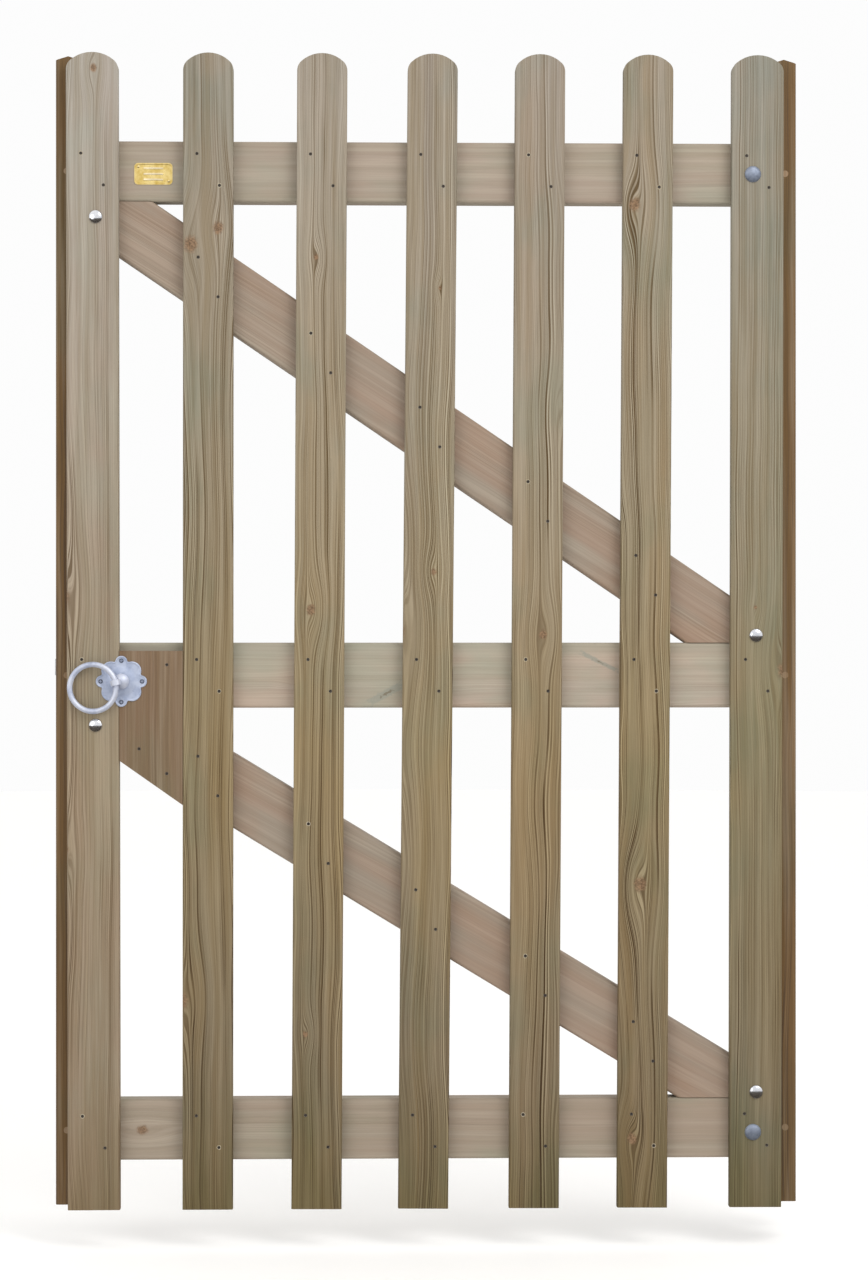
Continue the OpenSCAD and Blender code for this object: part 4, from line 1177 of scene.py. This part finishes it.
platePin = {"headRadius": 2 * mm, "headHeight": 1 * mm, "shank": 1 * mm, "point": 2 * mm, "around": 20}
shapes = []
for box in partBoxes("maker_plate_pins"):
    low, high = box
    middle = middleOf(box)
    length = high.y - low.y
    profile = domeProfile(platePin["headRadius"], platePin["headHeight"], platePin["headHeight"], 6)
    profile += [(platePin["shank"], platePin["headHeight"]), (platePin["shank"], length - platePin["point"]),
                (0.0, length)]
    shapes.append(moved(turned(profile, platePin["around"]), (middle.x, low.y, middle.z)))
finishMetal("makers_plate_pins", joined(shapes), "brass", "maker_plate_pins")
print("ironwork and plate made")

studio = {
    "floorDrop": 60 * mm,
    "floorRadius": 14.0,
    "floorGlow": 0.12,
    "cardDrop": 5 * mm,           # the dark card that metal reflects lies this far under the floor
    "backLight": 0.98,
    "keyPlace": (1.9, -2.6, 2.6),  # from the middle of the gate
    "keyPower": 60,
    "keySize": 2.2,
    "fillPlace": (-2.4, -3.0, 0.8),
    "fillPower": 20,
    "fillSize": 2.5,
    "viewDistance": 4.6,
    "viewHeight": 0.808,
    "viewSide": 0.118,
    "aimSide": 10 * mm,
    "lens": 85.4,
    "sensor": 36,
    "farthest": 60,
}
white = (1.0, 1.0, 1.0, 1.0)
leafMiddle = (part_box("latch_stile")[0].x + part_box("hinge_stile")[1].x) / 2


def paleSurface(name, colour, rough):
    material, tree, shader = startMaterial(name)
    place = tree.nodes.new("ShaderNodeTexCoord").outputs["Object"]
    cloud = noiseOf(tree, place, 1.3, 3)
    darker = tuple(part * 0.985 for part in tint(colour)[:3]) + (1.0,)
    feed(tree, shader.inputs["Base Color"], blendTint(tree, cloud, tint(colour), darker))
    shader.inputs["Roughness"].default_value = rough
    return material


def floorDisc(name, height, colour, rough):
    bm = bmesh.new()
    bmesh.ops.create_circle(bm, cap_ends=True, segments=96, radius=studio["floorRadius"])
    moved(bm, (leafMiddle, 0, height))
    mesh = bpy.data.meshes.new(name)
    bm.to_mesh(mesh)
    bm.free()
    disc = bpy.data.objects.new(name, mesh)
    bpy.context.scene.collection.objects.link(disc)
    mesh.materials.append(paleSurface(name + "_surface", colour, rough))
    return disc


floorHeight = cadLow.z - studio["floorDrop"]
floor = floorDisc("floor", floorHeight, "F4F3F1", 0.7)
floorShader = floor.data.materials[0].node_tree.nodes["Principled BSDF"]
floorShader.inputs["Emission Color"].default_value = white
floorShader.inputs["Emission Strength"].default_value = studio["floorGlow"]
floor.visible_glossy = False
darkCard = floorDisc("floor_in_reflections", floorHeight - studio["cardDrop"], "4A4238", 0.9)
darkCard.visible_camera = False
darkCard.visible_diffuse = False
darkCard.visible_shadow = False

world = bpy.data.worlds.new("studio")
world.use_nodes = True
backdrop = world.node_tree.nodes["Background"]
backdrop.inputs["Color"].default_value = white
backdrop.inputs["Strength"].default_value = studio["backLight"]
bpy.context.scene.world = world
bpy.context.scene.view_settings.view_transform = "Standard"


def turnedTo(holder, spot, aim):
    holder.location = spot
    holder.rotation_euler = (aim - spot).to_track_quat("-Z", "Y").to_euler()
    bpy.context.scene.collection.objects.link(holder)


def areaLight(name, spot, aim, size, power):
    lamp = bpy.data.lights.new(name, "AREA")
    lamp.shape = "DISK"
    lamp.size = size
    lamp.energy = power
    turnedTo(bpy.data.objects.new(name, lamp), spot, aim)


gateMiddle = Vector((leafMiddle, frontY, studio["viewHeight"]))
keySpot = gateMiddle + Vector(studio["keyPlace"])
fillSpot = gateMiddle + Vector(studio["fillPlace"])
areaLight("key", keySpot, gateMiddle, studio["keySize"], studio["keyPower"])
areaLight("fill", fillSpot, gateMiddle, studio["fillSize"], studio["fillPower"])

lens = bpy.data.cameras.new("camera")
lens.lens = studio["lens"]
lens.sensor_width = studio["sensor"]
lens.clip_end = studio["farthest"]
camera = bpy.data.objects.new("camera", lens)
sideStep = studio["viewSide"]
forward = math.sqrt(studio["viewDistance"] ** 2 - sideStep ** 2)
aimPoint = gateMiddle + Vector((studio["aimSide"], 0, 0))
turnedTo(camera, aimPoint + Vector((-sideStep, -forward, 0)), aimPoint)
bpy.context.scene.camera = camera
print("studio and camera set")

bpy.context.view_layer.update()
